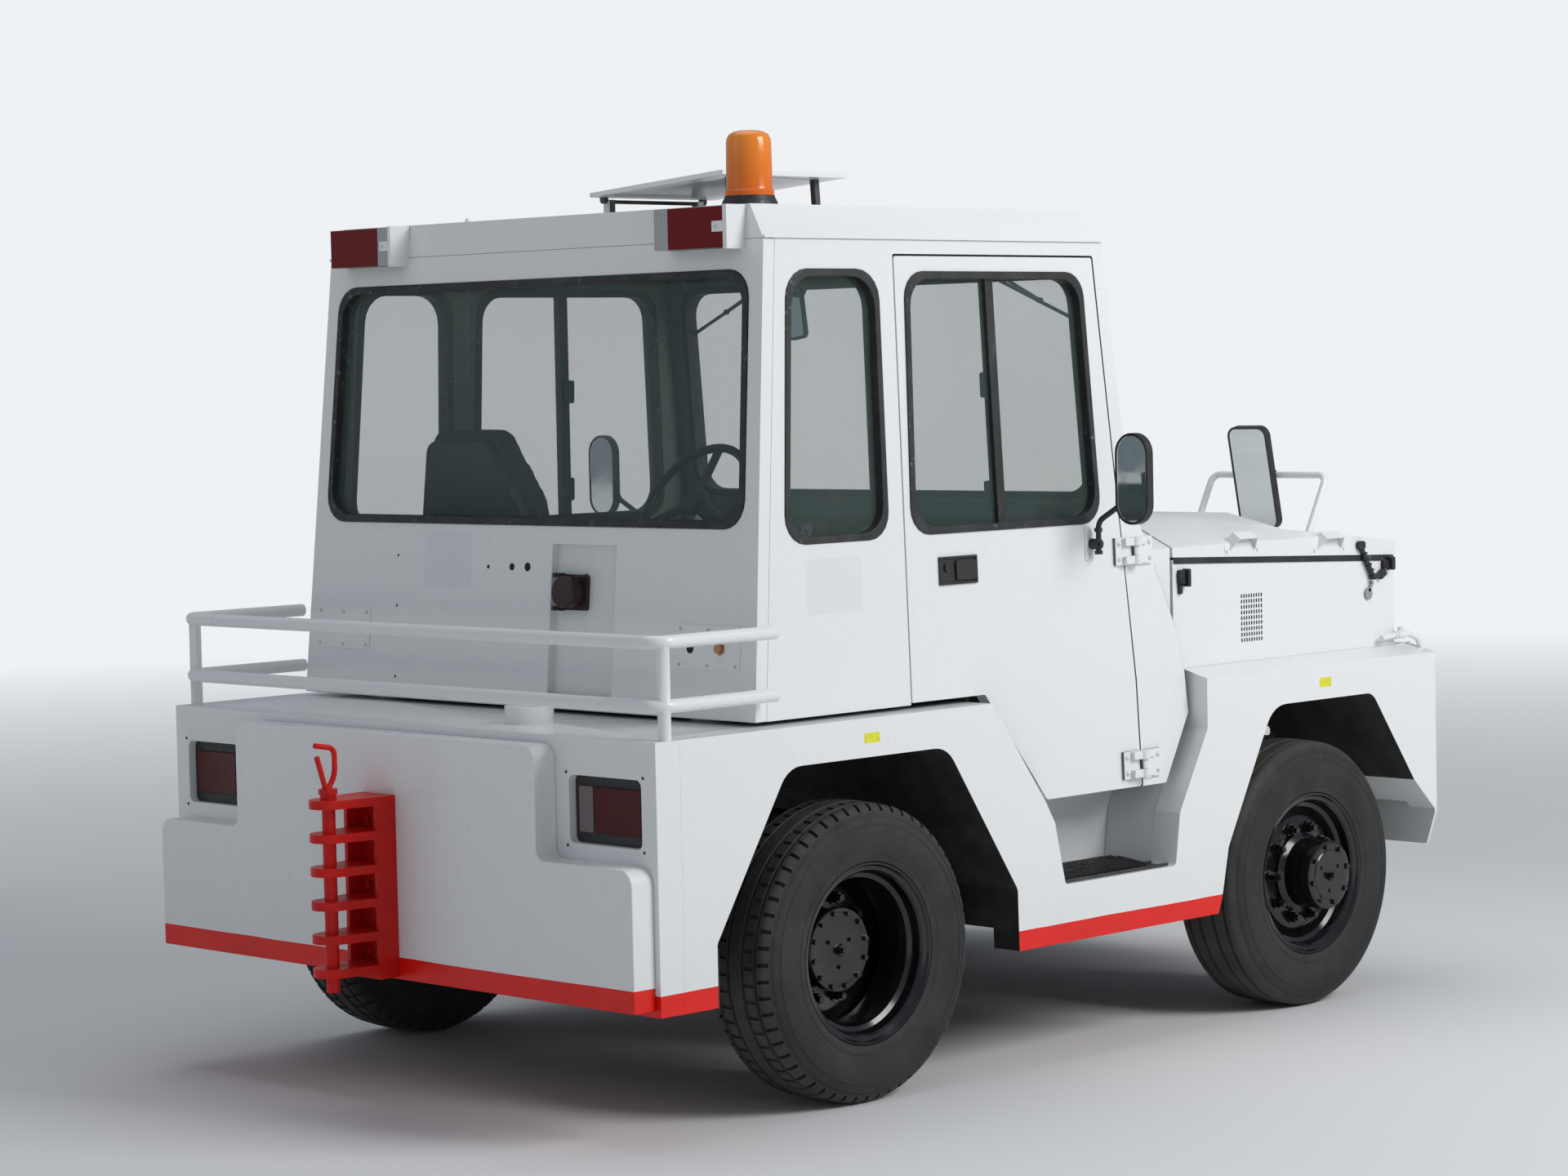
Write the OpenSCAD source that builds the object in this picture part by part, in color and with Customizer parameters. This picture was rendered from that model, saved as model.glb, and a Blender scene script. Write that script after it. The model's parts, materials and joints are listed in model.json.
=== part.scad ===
// Aircraft pushback tractor: a four-wheeled ballasted tug with a hollow cab, a bonnet over the
// front axle, a multi-height rear tow coupling and a guard rail round its rear deck.
// Stations along X are counted from the rear face of the body, with +X forward and +Y to the left.

/* [Body] */
// Width over the two body sides
body_w = 2126; // [2060:1:2200]
// Length of the body from its rear face to its front plate
body_l = 3573; // [3500:1:3700]
// Height of the rear deck and of the front fenders
deck_z = 1095; // [1080:1:1110]
// Height of the body's lower edge
body_z = 357; // [330:1:380]
// Thickness of a body side
side_t = 100; // [80:1:110]
// Thickness of the body's rear wall
rear_t = 90; // [80:1:110]
// Thickness of the deck plate and other plain plates
plate_t = 12; // [8:1:16]
// Height of the inner end of the sloped fender top above the deck
fender_rise = 28; // [10:1:40]
// Wall of the wheel arch liners
liner_t = 8; // [5:1:12]
// Inner edge of the wheel arch liners, from the centre plane
liner_y = 560; // [540:1:600]

/* [Rear plate] */
// Thickness of the proud ballast plate on the rear face
plate_proud = 80; // [50:1:100]
// Width of its lower part
plate_low_w = 2088; // [1900:1:2090]
// Width of its upper part
plate_top_w = 1330; // [1200:1:1400]
// Height of its lower edge
plate_z = 375; // [375:1:420]
// Height of its shoulders
plate_step_z = 760; // [700:1:780]
// Height of its top edge
plate_top_z = 1072; // [1040:1:1080]

/* [Wheels] */
// Station of the rear axle
rear_axle_x = 826; // [816:1:836]
// Distance between the axles
wheelbase = 2073; // [2060:1:2085]
// Outer radius of a tyre
tyre_r = 427; // [420:1:430]
// Width of a tyre
tyre_w = 252; // [240:1:256]
// Radius of a rim's flanges
rim_r = 260; // [250:1:265]
// Width over a rim's flanges
rim_w = 224; // [210:1:230]
// Distance of a wheel's middle from the centre plane
wheel_y = 937; // [930:1:940]
// Distance of a steering pivot from the centre plane
pivot_y = 885; // [880:1:892]
// Radius of the hub drum on a front wheel
front_hub_r = 110; // [100:1:120]
// Reach of the front hub drum beyond the rim's outer flange
front_hub_out = 70; // [50:1:80]
// Radius of the hub cap on a rear wheel
rear_hub_r = 122; // [110:1:130]
// Depth of the rear hub cap's face behind the rim's outer flange
rear_hub_in = 117; // [105:1:125]

/* [Step wells] */
// Station of the step opening's rear lower corner
step_x0 = 1664; // [1655:1:1672]
// Station of the step opening's front lower corner
step_x1 = 2186; // [2178:1:2194]
// Height of the step opening's lower edge
step_z = 530; // [520:1:540]
// Depth of a step tread from the body side's outer face
step_d = 290; // [250:1:320]

/* [Cab] */
// Width of the cab at its foot
cab_w = 1987; // [1975:1:1995]
// Inward lean of each of the cab's sides over their height
cab_in = 42.5; // [38:0.5:48]
// Height of the cab's foot
cab_z = 1108; // [1100:1:1115]
// Height of the cab below the roof
cab_top_z = 2442; // [2430:1:2455]
// Station of the rear wall's foot
cab_x = 446; // [430:1:460]
// Station of the rear wall's top
cab_top_x = 560; // [550:1:575]
// Station of the windscreen's head
screen_top_x = 2010; // [2000:1:2020]
// Station of the windscreen's foot
screen_x = 2100; // [2090:1:2110]
// Thickness of the cab walls and doors
wall_t = 45; // [40:1:55]
// Height of the roof above the cab walls
roof_h = 97; // [90:1:110]
// Inward lean of the roof's sides over its height
roof_in = 58; // [40:1:70]
// Height of the footwell floor
floor_z = 800; // [790:1:815]

/* [Windows] */
// Height of the window openings' lower edges
sill_z = 1588; // [1575:1:1610]
// Height of the window openings' upper edges
head_z = 2358; // [2340:1:2370]
// Corner radius of the window openings
window_r = 80; // [50:1:90]
// Width of the black window seals
seal_w = 22; // [16:1:28]
// Thickness of the glass
glass_t = 6; // [4:1:8]

/* [Doors] */
// Station of a door's rear edge
door_x0 = 1078; // [1072:1:1086]
// Station of a door's front edge at its foot
door_x1 = 2096; // [2090:1:2100]
// Gap round a door
door_gap = 6; // [5:1:8]
// Distance of the hinge pins from the door's outer face
hinge_out = 17; // [15:1:20]
// Station of the hinge pins
hinge_x = 2096; // [2092:1:2100]
// Radius of a hinge barrel
hinge_r = 11; // [9:1:12]

/* [Bonnet] */
// Distance of the bonnet's sides inside the foot of the cab's sides
bonnet_in = 28; // [24:1:36]
// Station of the bonnet's rear edge
bonnet_x0 = 2312; // [2306:1:2320]
// Station of the bonnet's front
bonnet_x1 = 3478; // [3460:1:3490]
// Height of the lid's lower edge at the rear
lid_z0 = 1470; // [1460:1:1480]
// Height of the lid's lower edge at the front
lid_z1 = 1422; // [1410:1:1430]
// Thickness of the bonnet's sheet
sheet_t = 8; // [5:1:12]

/* [Coupling] */
// Number of ears on the rear coupling
ear_count = 6; // [6:1:6]
// Height of the lowest ear
ear_z0 = 401; // [398:1:410]
// Distance from ear to ear
ear_pitch = 95; // [90:1:97]
// Thickness of an ear
ear_t = 25; // [20:1:27]
// Width of an ear at the pin
ear_w = 110; // [100:1:120]
// Width of the channel that carries the ears
channel_w = 146; // [140:1:160]
// Depth of that channel
channel_d = 70; // [60:1:90]
// Thickness of the channel's walls
channel_t = 14; // [10:1:18]
// Distance of the coupling pin behind the rear plate
pin_back = 182; // [170:1:195]
// Radius of the coupling pin
pin_r = 19; // [16:1:22]
// Radial clearance of the coupling pin
pin_gap = 0.5; // [0.3:0.1:1]

/* [Rail] */
// Radius of the rail tubes
tube_r = 19; // [16:1:21]
// Height of the upper rail
rail_z1 = 1358; // [1330:1:1370]
// Height of the lower rail
rail_z0 = 1186; // [1170:1:1200]
// Distance of the side rails inside the body's sides
rail_in = 21; // [20:1:30]
// Station of the cross rails
rail_x0 = 34; // [30:1:45]
// Station of the rails' free ends
rail_x1 = 480; // [450:1:500]
// Bend radius of the rails
rail_bend = 45; // [30:1:70]

/* [Hidden] */
$fn = 48;

white = "whitesmoke";
black = "#1b1b1c";
red = "#cf1f16";
half_w = body_w / 2;
cab_top_w = cab_w - 2 * cab_in;
bonnet_y = cab_w / 2 - bonnet_in;
rail_y = half_w - rail_in;
front_axle_x = rear_axle_x + wheelbase;
touch = 0.3;
// Half width of the cutters and blanks that reach past every side
far = 1400;
pin_x = -plate_proud - pin_back;
coupling_tip = -pin_x + ear_w / 2;
hitch_reach = 150;
// Station of the part's middle, which the frame's origin lies under
mid_x = (body_l + hitch_reach - coupling_tip) / 2;

// Plain geometry helpers: a rounded outline, and outlines drawn out along each axis
function unit(v) = v / norm(v);
function corner(a, b, c, r, n) =
    let(u = unit(a - b), v = unit(c - b), half = acos(u * v) / 2,
        m = b + unit(u + v) * r / sin(half), p = b + u * r / tan(half) - m,
        q = b + v * r / tan(half) - m, t0 = atan2(p[1], p[0]), d = atan2(q[1], q[0]) - t0,
        turn = d > 180 ? d - 360 : d < -180 ? d + 360 : d)
    [for (i = [0:n]) m + r * [cos(t0 + turn * i / n), sin(t0 + turn * i / n)]];
// Each corner is [x, y, radius]
function rounded(pts, n = 5) = [for (i = [0:len(pts) - 1])
    let(k = len(pts), a = pts[(i + k - 1) % k], b = pts[i], c = pts[(i + 1) % k])
    each b[2] > 0 ? corner([a[0], a[1]], [b[0], b[1]], [c[0], c[1]], b[2], n) : [[b[0], b[1]]]];
function box_pts(x0, z0, x1, z1, r) = rounded([[x0, z0, r], [x1, z0, r], [x1, z1, r], [x0, z1, r]]);

module xz(y0, y1) translate([0, y1, 0]) rotate([90, 0, 0]) linear_extrude(y1 - y0) children();
module yz(x0, x1) translate([x0, 0, 0]) rotate([90, 0, 90]) linear_extrude(x1 - x0) children();
module xy(z0, z1) translate([0, 0, z0]) linear_extrude(z1 - z0) children();
module block(a, b) translate(a) cube(b - a);
module along_y(p, y0, y1, r) translate([p[0], y1, p[1]]) rotate([90, 0, 0]) cylinder(h = y1 - y0, r = r);
module side(s) mirror([0, s < 0 ? 1 : 0, 0]) children();
module placed() translate([-mid_x, 0, 0]) children();

// Lower body
// Wheel arches, the lower one as a pair of open ends: [distance from the axle, height, corner radius]
rear_arch = [[-612, 0, 0], [-612, 530, 30], [-325, 985, 95], [325, 985, 95], [622, 540, 40], [632, 0, 0]];
front_arch = [[-506, 0, 0], [-506, body_z, 0], [-487, 400, 20], [-450, 560, 40], [-212, 985, 110],
    [318, 985, 60], [547, 678, 20], [body_l - front_axle_x, 560, 0], [body_l - front_axle_x, 0, 0]];
function arch_at(x, pts, g = 0) = rounded([for (p = pts)
    [x + p[0] * (1 + g / 500), p[1] + (p[1] > 0 ? g : 0), p[2]]]);
step_opening = [[1350, 2000, 0], [1350, deck_z, 0], [1582, 783, 20], [1621, 718, 20],
    [step_x0, step_z, 15], [step_x1, step_z, 15], [2210, 691, 20], [2330, 900, 30], [2353, 940, 30],
    [2353, 2000, 0]];

fender_x = 2353;
ledge_w = 45;
module side_outline() difference() {
    polygon([[rear_t, body_z], [body_l - plate_t, body_z], [body_l - plate_t, deck_z], [rear_t, deck_z]]);
    polygon(arch_at(rear_axle_x, rear_arch));
    polygon(arch_at(front_axle_x, front_arch));
    polygon(rounded(step_opening));
}
module liner(x, pts, x0, x1) intersection() {
    xz(liner_y, half_w - side_t + 1) difference() {
        polygon(arch_at(x, pts, liner_t));
        polygon(arch_at(x, pts));
    }
    block([max(x + x0 - 40, rear_t), 0, body_z + 60],
        [min(x + x1 + 40, body_l - plate_t), half_w, deck_z - plate_t]);
}
module body_side(s) side(s) color(white) placed() {
    xz(half_w - side_t, half_w) side_outline();
    liner(rear_axle_x, rear_arch, -612, 632);
    liner(front_axle_x, front_arch, -506, 600);
    yz(fender_x, body_l - plate_t) polygon([[half_w, deck_z], [half_w - side_t, deck_z + fender_rise],
        [half_w - side_t, deck_z]]);
    block([fender_x, half_w - side_t - ledge_w, deck_z], [bonnet_x1, half_w - side_t, deck_z + fender_rise]);
}
module side_left() body_side(1);
module side_right() body_side(-1);

lamp_y1 = half_w - 73;
lamp_y0 = lamp_y1 - 259;
lamp_z0 = 818;
lamp_z1 = 977;
lamp_margin = 14;
lamp_depth = 60;
module rear_wall() color(white) placed() difference() {
    yz(0, rear_t) polygon([[-half_w, body_z], [half_w, body_z], [half_w, deck_z], [-half_w, deck_z]]);
    for (s = [-1, 1]) side(s) yz(-1, lamp_depth) polygon(box_pts(lamp_y0 - lamp_margin,
        lamp_z0 - lamp_margin, lamp_y1 + lamp_margin, lamp_z1 + lamp_margin, 20));
}

module rear_plate() color(white) placed() yz(-plate_proud, 0) polygon(rounded([
    [-plate_low_w / 2, plate_z, 4], [plate_low_w / 2, plate_z, 4], [plate_low_w / 2, plate_step_z, 45],
    [plate_top_w / 2, plate_step_z, 30], [plate_top_w / 2, plate_top_z, 40],
    [-plate_top_w / 2, plate_top_z, 40], [-plate_top_w / 2, plate_step_z, 30],
    [-plate_low_w / 2, plate_step_z, 45]]));

filler_r = 70;
module deck() color(white) placed() {
    block([rear_t, -half_w + side_t, deck_z - plate_t], [1350, half_w - side_t, deck_z]);
    translate([205, -330, deck_z]) cylinder(h = 50, r = filler_r);
    for (x = [cab_x + 120, 1280], y = [-700, 700])
        translate([x, y, deck_z]) cylinder(h = cab_z - deck_z, r = 60);
}

grille_y = 380;
module front_plate() color(white) placed() difference() {
    union() {
        yz(body_l - plate_t, body_l) polygon(rounded([[-half_w + 35, 452, 10], [half_w - 35, 452, 10],
            [half_w, 560, 20], [half_w, deck_z, 0], [half_w - side_t, deck_z + fender_rise, 0],
            [-half_w + side_t, deck_z + fender_rise, 0], [-half_w, deck_z, 0], [-half_w, 560, 20]]));
        block([bonnet_x1, -half_w + side_t, deck_z + fender_rise - plate_t],
            [body_l - plate_t, half_w - side_t, deck_z + fender_rise]);
    }
    for (z = [720:60:960]) yz(body_l - plate_t - 1, body_l + 1)
        polygon(box_pts(-grille_y, z, grille_y, z + 32, 12));
}

// Running gear
rail_half = 380;
rail_w = 90;
frame_z = 560;
outrigger_w = 80;
// Stations of the outriggers that carry the body sides
outriggers = [100, 1480, 2290];
cross_members = [200, 1500, 2300, 3400];
module chassis_frame() color(black) placed() {
    for (s = [-1, 1]) side(s) {
        block([rear_t, rail_half - rail_w / 2, frame_z],
            [body_l - plate_t, rail_half + rail_w / 2, frame_z + 160]);
        for (x = outriggers)
            block([x, rail_half + rail_w / 2, frame_z + 20],
                [x + outrigger_w, half_w - side_t, frame_z + 140]);
    }
    for (x = cross_members)
        block([x, -rail_half, frame_z + 30], [x + 100, rail_half, frame_z + 130]);
}

module engine_block() color("dimgray") placed() {
    block([2480, -300, 690], [3330, 300, 1330]);
    for (x = [2560, 3180], y = [-380, 300]) block([x, y, frame_z + 160], [x + 70, y + 80, frame_z + 200]);
}

axle_r = 70;
module rear_axle() color(black) placed() {
    along_y([rear_axle_x, tyre_r], -wheel_y + 62, wheel_y - 62, axle_r);
    intersection() {
        translate([rear_axle_x, 0, tyre_r]) sphere(r = 165);
        block([0, -150, 0], [2000, 150, 1000]);
    }
    for (s = [-1, 1]) side(s)
        block([rear_axle_x - 60, rail_half - 40, tyre_r], [rear_axle_x + 60, rail_half + 40, frame_z]);
}

yoke_z = 105;
module front_axle() color(black) placed() difference() {
    union() {
        along_y([front_axle_x, tyre_r], -pivot_y + 150, pivot_y - 150, 62);
        for (s = [-1, 1]) side(s) {
            block([front_axle_x - 60, rail_half - 40, tyre_r],
                [front_axle_x + 60, rail_half + 40, frame_z]);
            block([front_axle_x - 55, pivot_y - 190, tyre_r - yoke_z - 30],
                [front_axle_x + 55, pivot_y - 130, tyre_r + yoke_z + 30]);
            for (z = [tyre_r - yoke_z - 30, tyre_r + yoke_z])
                block([front_axle_x - 55, pivot_y - 131, z], [front_axle_x + 55, pivot_y, z + 30]);
            for (z = [tyre_r - yoke_z - 30, tyre_r + yoke_z])
                translate([front_axle_x, pivot_y, z]) cylinder(h = 30, r = 55);
        }
    }
    for (s = [-1, 1]) side(s)
        translate([front_axle_x, pivot_y, 0]) cylinder(h = 1000, r = 20 + 0.05);
}

module knuckle(s) side(s) color(black) placed() {
    translate([front_axle_x, pivot_y, tyre_r - yoke_z - 30]) cylinder(h = 2 * yoke_z + 60, r = 20);
    translate([front_axle_x, pivot_y, tyre_r - yoke_z + 5]) cylinder(h = 2 * yoke_z - 10, r = 45);
    along_y([front_axle_x, tyre_r], pivot_y, wheel_y + 70, 48);
    block([front_axle_x - 190, pivot_y - 50, tyre_r - 20], [front_axle_x - 40, pivot_y - 10, tyre_r + 20]);
}
module knuckle_left() knuckle(1);
module knuckle_right() knuckle(-1);

rim_in = rim_r - 30;
half_rim = rim_w / 2;
rear_disc = -half_rim + 27;
// Rim profile: [radius, distance outward from the wheel's middle]
module rim_ring() rotate_extrude($fn = 96) polygon([[rim_in, -half_rim], [rim_r, -half_rim],
    [rim_r, -half_rim + 12], [rim_in + 10, -half_rim + 16], [rim_in + 10, half_rim - 16],
    [rim_r, half_rim - 12], [rim_r, half_rim], [rim_in, half_rim]]);
module disc(a, r1, t) translate([0, 0, a]) cylinder(h = t, r = r1, $fn = 96);
module wheel(x, s, steer) side(s) color(black) placed()
    translate([x, wheel_y, tyre_r]) rotate([-90, 0, 0]) difference() {
        union() {
            rim_ring();
            disc(steer ? half_rim - 70 : rear_disc, rim_in + 1, 14);
            if (steer) disc(half_rim - 70, front_hub_r, 70 + front_hub_out);
            else disc(half_rim - rear_hub_in - 40, rear_hub_r, 40);
            if (!steer) disc(-110, 100, 70);
            if (steer) disc(5, 85, half_rim - 65);
        }
        if (steer) disc(-half_rim - 60, 48.05, half_rim + 60 + 72);
        else disc(-half_rim - 60, axle_r + 0.05, half_rim);
    }
module wheel_rear_left() wheel(rear_axle_x, 1, false);
module wheel_rear_right() wheel(rear_axle_x, -1, false);
module wheel_front_left() wheel(front_axle_x, 1, true);
module wheel_front_right() wheel(front_axle_x, -1, true);

module tyre(x, s) side(s) color("#2b2c2e") placed() let(h = tyre_w / 2, r = tyre_r, b = rim_r + 4)
    translate([x, wheel_y, tyre_r]) rotate([-90, 0, 0]) rotate_extrude($fn = 96) polygon([
        [rim_in + 10 + touch, -half_rim + 17], [rim_r + touch, -half_rim + 12 + touch],
        [rim_r + touch, -half_rim], [b + 25, -h + 4], [b + 75, -h], [r - 40, -h + 8], [r - 8, -h + 28],
        [r, -h + 48], [r, h - 48], [r - 8, h - 28], [r - 40, h - 8], [b + 75, h], [b + 25, h - 4],
        [rim_r + touch, half_rim], [rim_r + touch, half_rim - 12 - touch],
        [rim_in + 10 + touch, half_rim - 17]]);
module tyre_rear_left() tyre(rear_axle_x, 1);
module tyre_rear_right() tyre(rear_axle_x, -1);
module tyre_front_left() tyre(front_axle_x, 1);
module tyre_front_right() tyre(front_axle_x, -1);

module steps() color("silver") placed() for (s = [-1, 1]) side(s) {
    block([step_x0 + 10, half_w - step_d, step_z - 30], [step_x1 - 10, half_w - side_t, step_z]);
    block([step_x0 - 80, half_w - step_d - plate_t, step_z - 30],
        [step_x1 + 80, half_w - step_d, floor_z - plate_t]);
}

// Cab
function side_y(z) = cab_w / 2 + (cab_top_w - cab_w) / 2 * (z - cab_z) / (cab_top_z - cab_z);
function rear_x(z) = cab_x + (cab_top_x - cab_x) * (z - cab_z) / (cab_top_z - cab_z);
function screen_at(z) = screen_x + (screen_top_x - screen_x) * (z - cowl_z) / (cab_top_z - cowl_z);
cowl_z = 1600;
// Blanks of the cab's sides start this far from the middle
cab_inner = cab_top_w / 2 - 151;
cowl_half = bonnet_y - 215;
cab_low_z = 780;
module side_strip(a, b) polygon([[side_y(cab_low_z - 20) - b, cab_low_z - 20],
    [side_y(cab_low_z - 20) - a, cab_low_z - 20], [side_y(cab_top_z) - a, cab_top_z],
    [side_y(cab_top_z) - b, cab_top_z]]);
module cab_section() polygon([[-side_y(cab_low_z), cab_low_z], [side_y(cab_low_z), cab_low_z],
    [side_y(cab_top_z), cab_top_z], [-side_y(cab_top_z), cab_top_z]]);

// Outline of a door, drawn in by g all round
function door_pts(g) = rounded([[door_x0 + g, cab_z + g, 4], [1392 + g, cab_z + g, 10],
    [1650 + g, cab_low_z - 5 + g, 15], [door_x1 + 10 - g, cab_low_z - 5 + g, 10],
    [door_x1 - g, cab_z, 0], [2064 - g, 1440, 0], [1966 - g, cab_top_z - 41 - g, 8],
    [door_x0 + g, cab_top_z - 41 - g, 8]], 3);
function door_window(g) = rounded([[1108 + g, sill_z + 5 + g, window_r],
    [1956 - g, sill_z + 5 + g, window_r], [1910 - g, head_z - 6 - g, window_r],
    [1122 + g, head_z - 6 - g, window_r]]);
function quarter_window(g) = rounded([[590 + g, sill_z + g, window_r],
    [1016 - g, sill_z + g, window_r], [1016 - g, head_z - g, 90], [640 + g, head_z - g, 90]]);
// Windows across the cab: [half width at the foot, half width at the head, height of the foot]
rear_pane = [cab_w / 2 - 73, cab_top_w / 2 - 51, sill_z + 50];
screen_pane = [cab_w / 2 - 113, cab_top_w / 2 - 89, cowl_z + 60];
function across(w, g) = rounded([[-w[0] + g, w[2] + g, window_r], [w[0] - g, w[2] + g, window_r],
    [w[1] - g, head_z - g, window_r], [-w[1] + g, head_z - g, window_r]]);
function rear_window(g) = across(rear_pane, g);
function screen_window(g) = across(screen_pane, g);

module cab_side(s) side(s) color(white) placed() {
    side_frame();
    for (z = hinge_zs) at_hinge(z) {
        leaf(1, pillar_spans);
        cylinder(h = hinge_h, r = pintle_r, center = true);
    }
}
module side_frame() intersection() {
    yz(0, 3000) side_strip(0, wall_t);
    xz(cab_inner, far) difference() {
        polygon([[rear_x(cab_z) + wall_t, cab_z], [2000, cab_z], [2000, cab_low_z], [2218, cab_low_z],
            [2340, 988], [2328, 1121], [2296, 1250], [2138, 1586],
            [2072, 1888], [screen_top_x, cab_top_z], [rear_x(cab_top_z) + wall_t, cab_top_z]]);
        polygon(door_pts(0));
        polygon([[door_x0, cab_z + 20], [door_x0, 0], [door_x1 - 20, 0], [door_x1 - 20, cab_z + 20]]);
        polygon(quarter_window(0));
    }
}
module cab_side_left() cab_side(1);
module cab_side_right() cab_side(-1);

module cab_rear_wall() color(white) placed() difference() {
    intersection() {
        yz(0, 3000) cab_section();
        xz(-far, far) polygon([[rear_x(cab_z), cab_z], [rear_x(cab_z) + wall_t, cab_z],
            [rear_x(cab_top_z) + wall_t, cab_top_z], [rear_x(cab_top_z), cab_top_z]]);
    }
    yz(0, 1000) polygon(rear_window(0));
    socket_recess();
}
// Shallow recess for the lead socket, low on the wall's right half
recess_y = [-404, -132];
recess_z = [1149, 1585];
recess_d = 26;
module socket_recess() xz(recess_y[0], recess_y[1])
    polygon([for (p = [[-5, 0], [recess_d, 0], [recess_d, 1], [-5, 1]])
        [rear_x(recess_z[p[1]]) + p[0], recess_z[p[1]]]]);

foot_y = cab_w / 2 - 65;
cowl_t = 6;
cowl_back = 2060;
cowl_front = bonnet_x0 - 12;
module cowl_section(x0, x1, g) yz(x0, x1) polygon([[-bonnet_y + g, 1100], [bonnet_y - g, 1100],
    [bonnet_y - g, lid_z0 + 30 - g], [cowl_half - g / 2, cowl_z - g], [-cowl_half + g / 2, cowl_z - g],
    [-bonnet_y + g, lid_z0 + 30 - g]]);
module cab_front() color(white) placed() {
    difference() {
        intersection() {
            yz(0, 3000) polygon([[-side_y(cowl_z - 60) + wall_t, cowl_z - 60],
                [side_y(cowl_z - 60) - wall_t, cowl_z - 60], [side_y(cab_top_z) - wall_t, cab_top_z],
                [-side_y(cab_top_z) + wall_t, cab_top_z]]);
            xz(-far, far) polygon([[screen_at(cowl_z) - wall_t, cowl_z - cowl_t - 1],
                [screen_at(cowl_z), cowl_z - cowl_t - 1], [screen_at(cowl_z), cowl_z],
                [screen_top_x, cab_top_z], [screen_top_x - wall_t, cab_top_z]]);
        }
        yz(0, 3000) polygon(screen_window(0));
    }
    difference() {
        cowl_section(cowl_back, cowl_front, 0);
        cowl_section(cowl_back - 1, cowl_front - cowl_t, cowl_t);
        for (s = [-1, 1]) side(s) intersection() {
            yz(0, 3000) side_strip(-20, wall_t);
            xz(cab_inner, far) polygon([[1900, 1000], [2335, 1000], [2328, 1121], [2296, 1250], [2138, 1586],
                [2120, 1680], [1900, 1680]]);
        }
    }
    block([cowl_front - cowl_t, -foot_y, floor_z - plate_t], [cowl_front, foot_y, 1140]);
}

foot_x1 = cowl_front - cowl_t;
module cab_floor() color("gray") placed() {
    intersection() {
        yz(0, 1388) polygon([for (p = [[-1, -1], [1, -1], [1, 1], [-1, 1]])
            let(z = cab_z + plate_t / 2 + p[1] * plate_t / 2) [p[0] * (side_y(z) - wall_t), z]]);
        xz(-far, far) polygon([[rear_x(cab_z) + wall_t, cab_z], [1388, cab_z],
            [1388, cab_z + plate_t], [rear_x(cab_z + plate_t) + wall_t, cab_z + plate_t]]);
    }
    xz(-foot_y, foot_y) polygon([[1380, cab_z], [1388, cab_z], [1388, floor_z - plate_t],
        [foot_x1, floor_z - plate_t], [foot_x1, floor_z], [1400, floor_z],
        [1400, cab_z + plate_t], [1380, cab_z + plate_t]]);
}

hatch_x0 = 1070;
hatch_x1 = 1575;
hatch_y = 280;
roof_top = cab_top_z + roof_h;
module roof() color(white) placed() {
    roof_shell();
    hatch_posts();
}
module roof_shell() difference() {
    union() {
        intersection() {
            yz(0, 3000) polygon([[-cab_top_w / 2, cab_top_z], [cab_top_w / 2, cab_top_z],
                [cab_top_w / 2 - roof_in, roof_top], [-cab_top_w / 2 + roof_in, roof_top]]);
            xz(-far, far) polygon([[cab_top_x, cab_top_z], [screen_top_x, cab_top_z],
                [screen_top_x - 44, roof_top], [cab_top_x + 8, roof_top]]);
        }
        for (s = [-1, 1]) side(s)
            block([cab_top_x, cab_top_w / 2 - 10, cab_top_z],
                [screen_top_x, cab_top_w / 2 + 6, cab_top_z + 8]);
        difference() {
            block([hatch_x0, -hatch_y, roof_top - 10], [hatch_x1, hatch_y, roof_top + 22]);
            block([hatch_x0 + 20, -hatch_y + 20, roof_top - 20],
                [hatch_x1 - 20, hatch_y - 20, roof_top + 30]);
        }
    }
    block([cab_top_x + wall_t, -cab_top_w / 2 + wall_t + 20, cab_top_z - 1],
        [screen_top_x - wall_t - 20, cab_top_w / 2 - wall_t - 20, roof_top - 40]);
    block([hatch_x0 + 20, -hatch_y + 20, cab_top_z - 2], [hatch_x1 - 20, hatch_y - 20, roof_top + 30]);
}

hatch_z = roof_top + 80;
hatch_tilt = 4.1;
hatch_y1 = 293;
hatch_pin = [hatch_y1 - 5, hatch_z - 12];
hatch_pin_r = 6;
module hatch_posts() for (x = [hatch_x0 + 50, hatch_x1 - 74]) difference() {
    block([x, hatch_pin[0] - 14, roof_top - 1], [x + 24, hatch_pin[0] + 14, hatch_pin[1] + 6]);
    translate([x - 1, hatch_pin[0], hatch_pin[1]]) rotate([0, 90, 0])
        cylinder(h = 26, r = hatch_pin_r + 0.05);
}
module roof_hatch() color(white) placed() {
    translate([0, hatch_y1, hatch_z]) rotate([-hatch_tilt, 0, 0]) {
        block([1056, -587, 0], [1590, 0, 14]);
        for (x = [hatch_x0 + 60, hatch_x1 - 80]) block([x, -540, -90], [x + 20, -520, 0.5]);
        for (x = [hatch_x0 + 30, hatch_x1 - 50]) block([x, -14, -12], [x + 20, 4, 0.5]);
    }
    translate([hatch_x0 + 30, hatch_pin[0], hatch_pin[1]]) rotate([0, 90, 0])
        cylinder(h = hatch_x1 - hatch_x0 - 60, r = hatch_pin_r);
}

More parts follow.
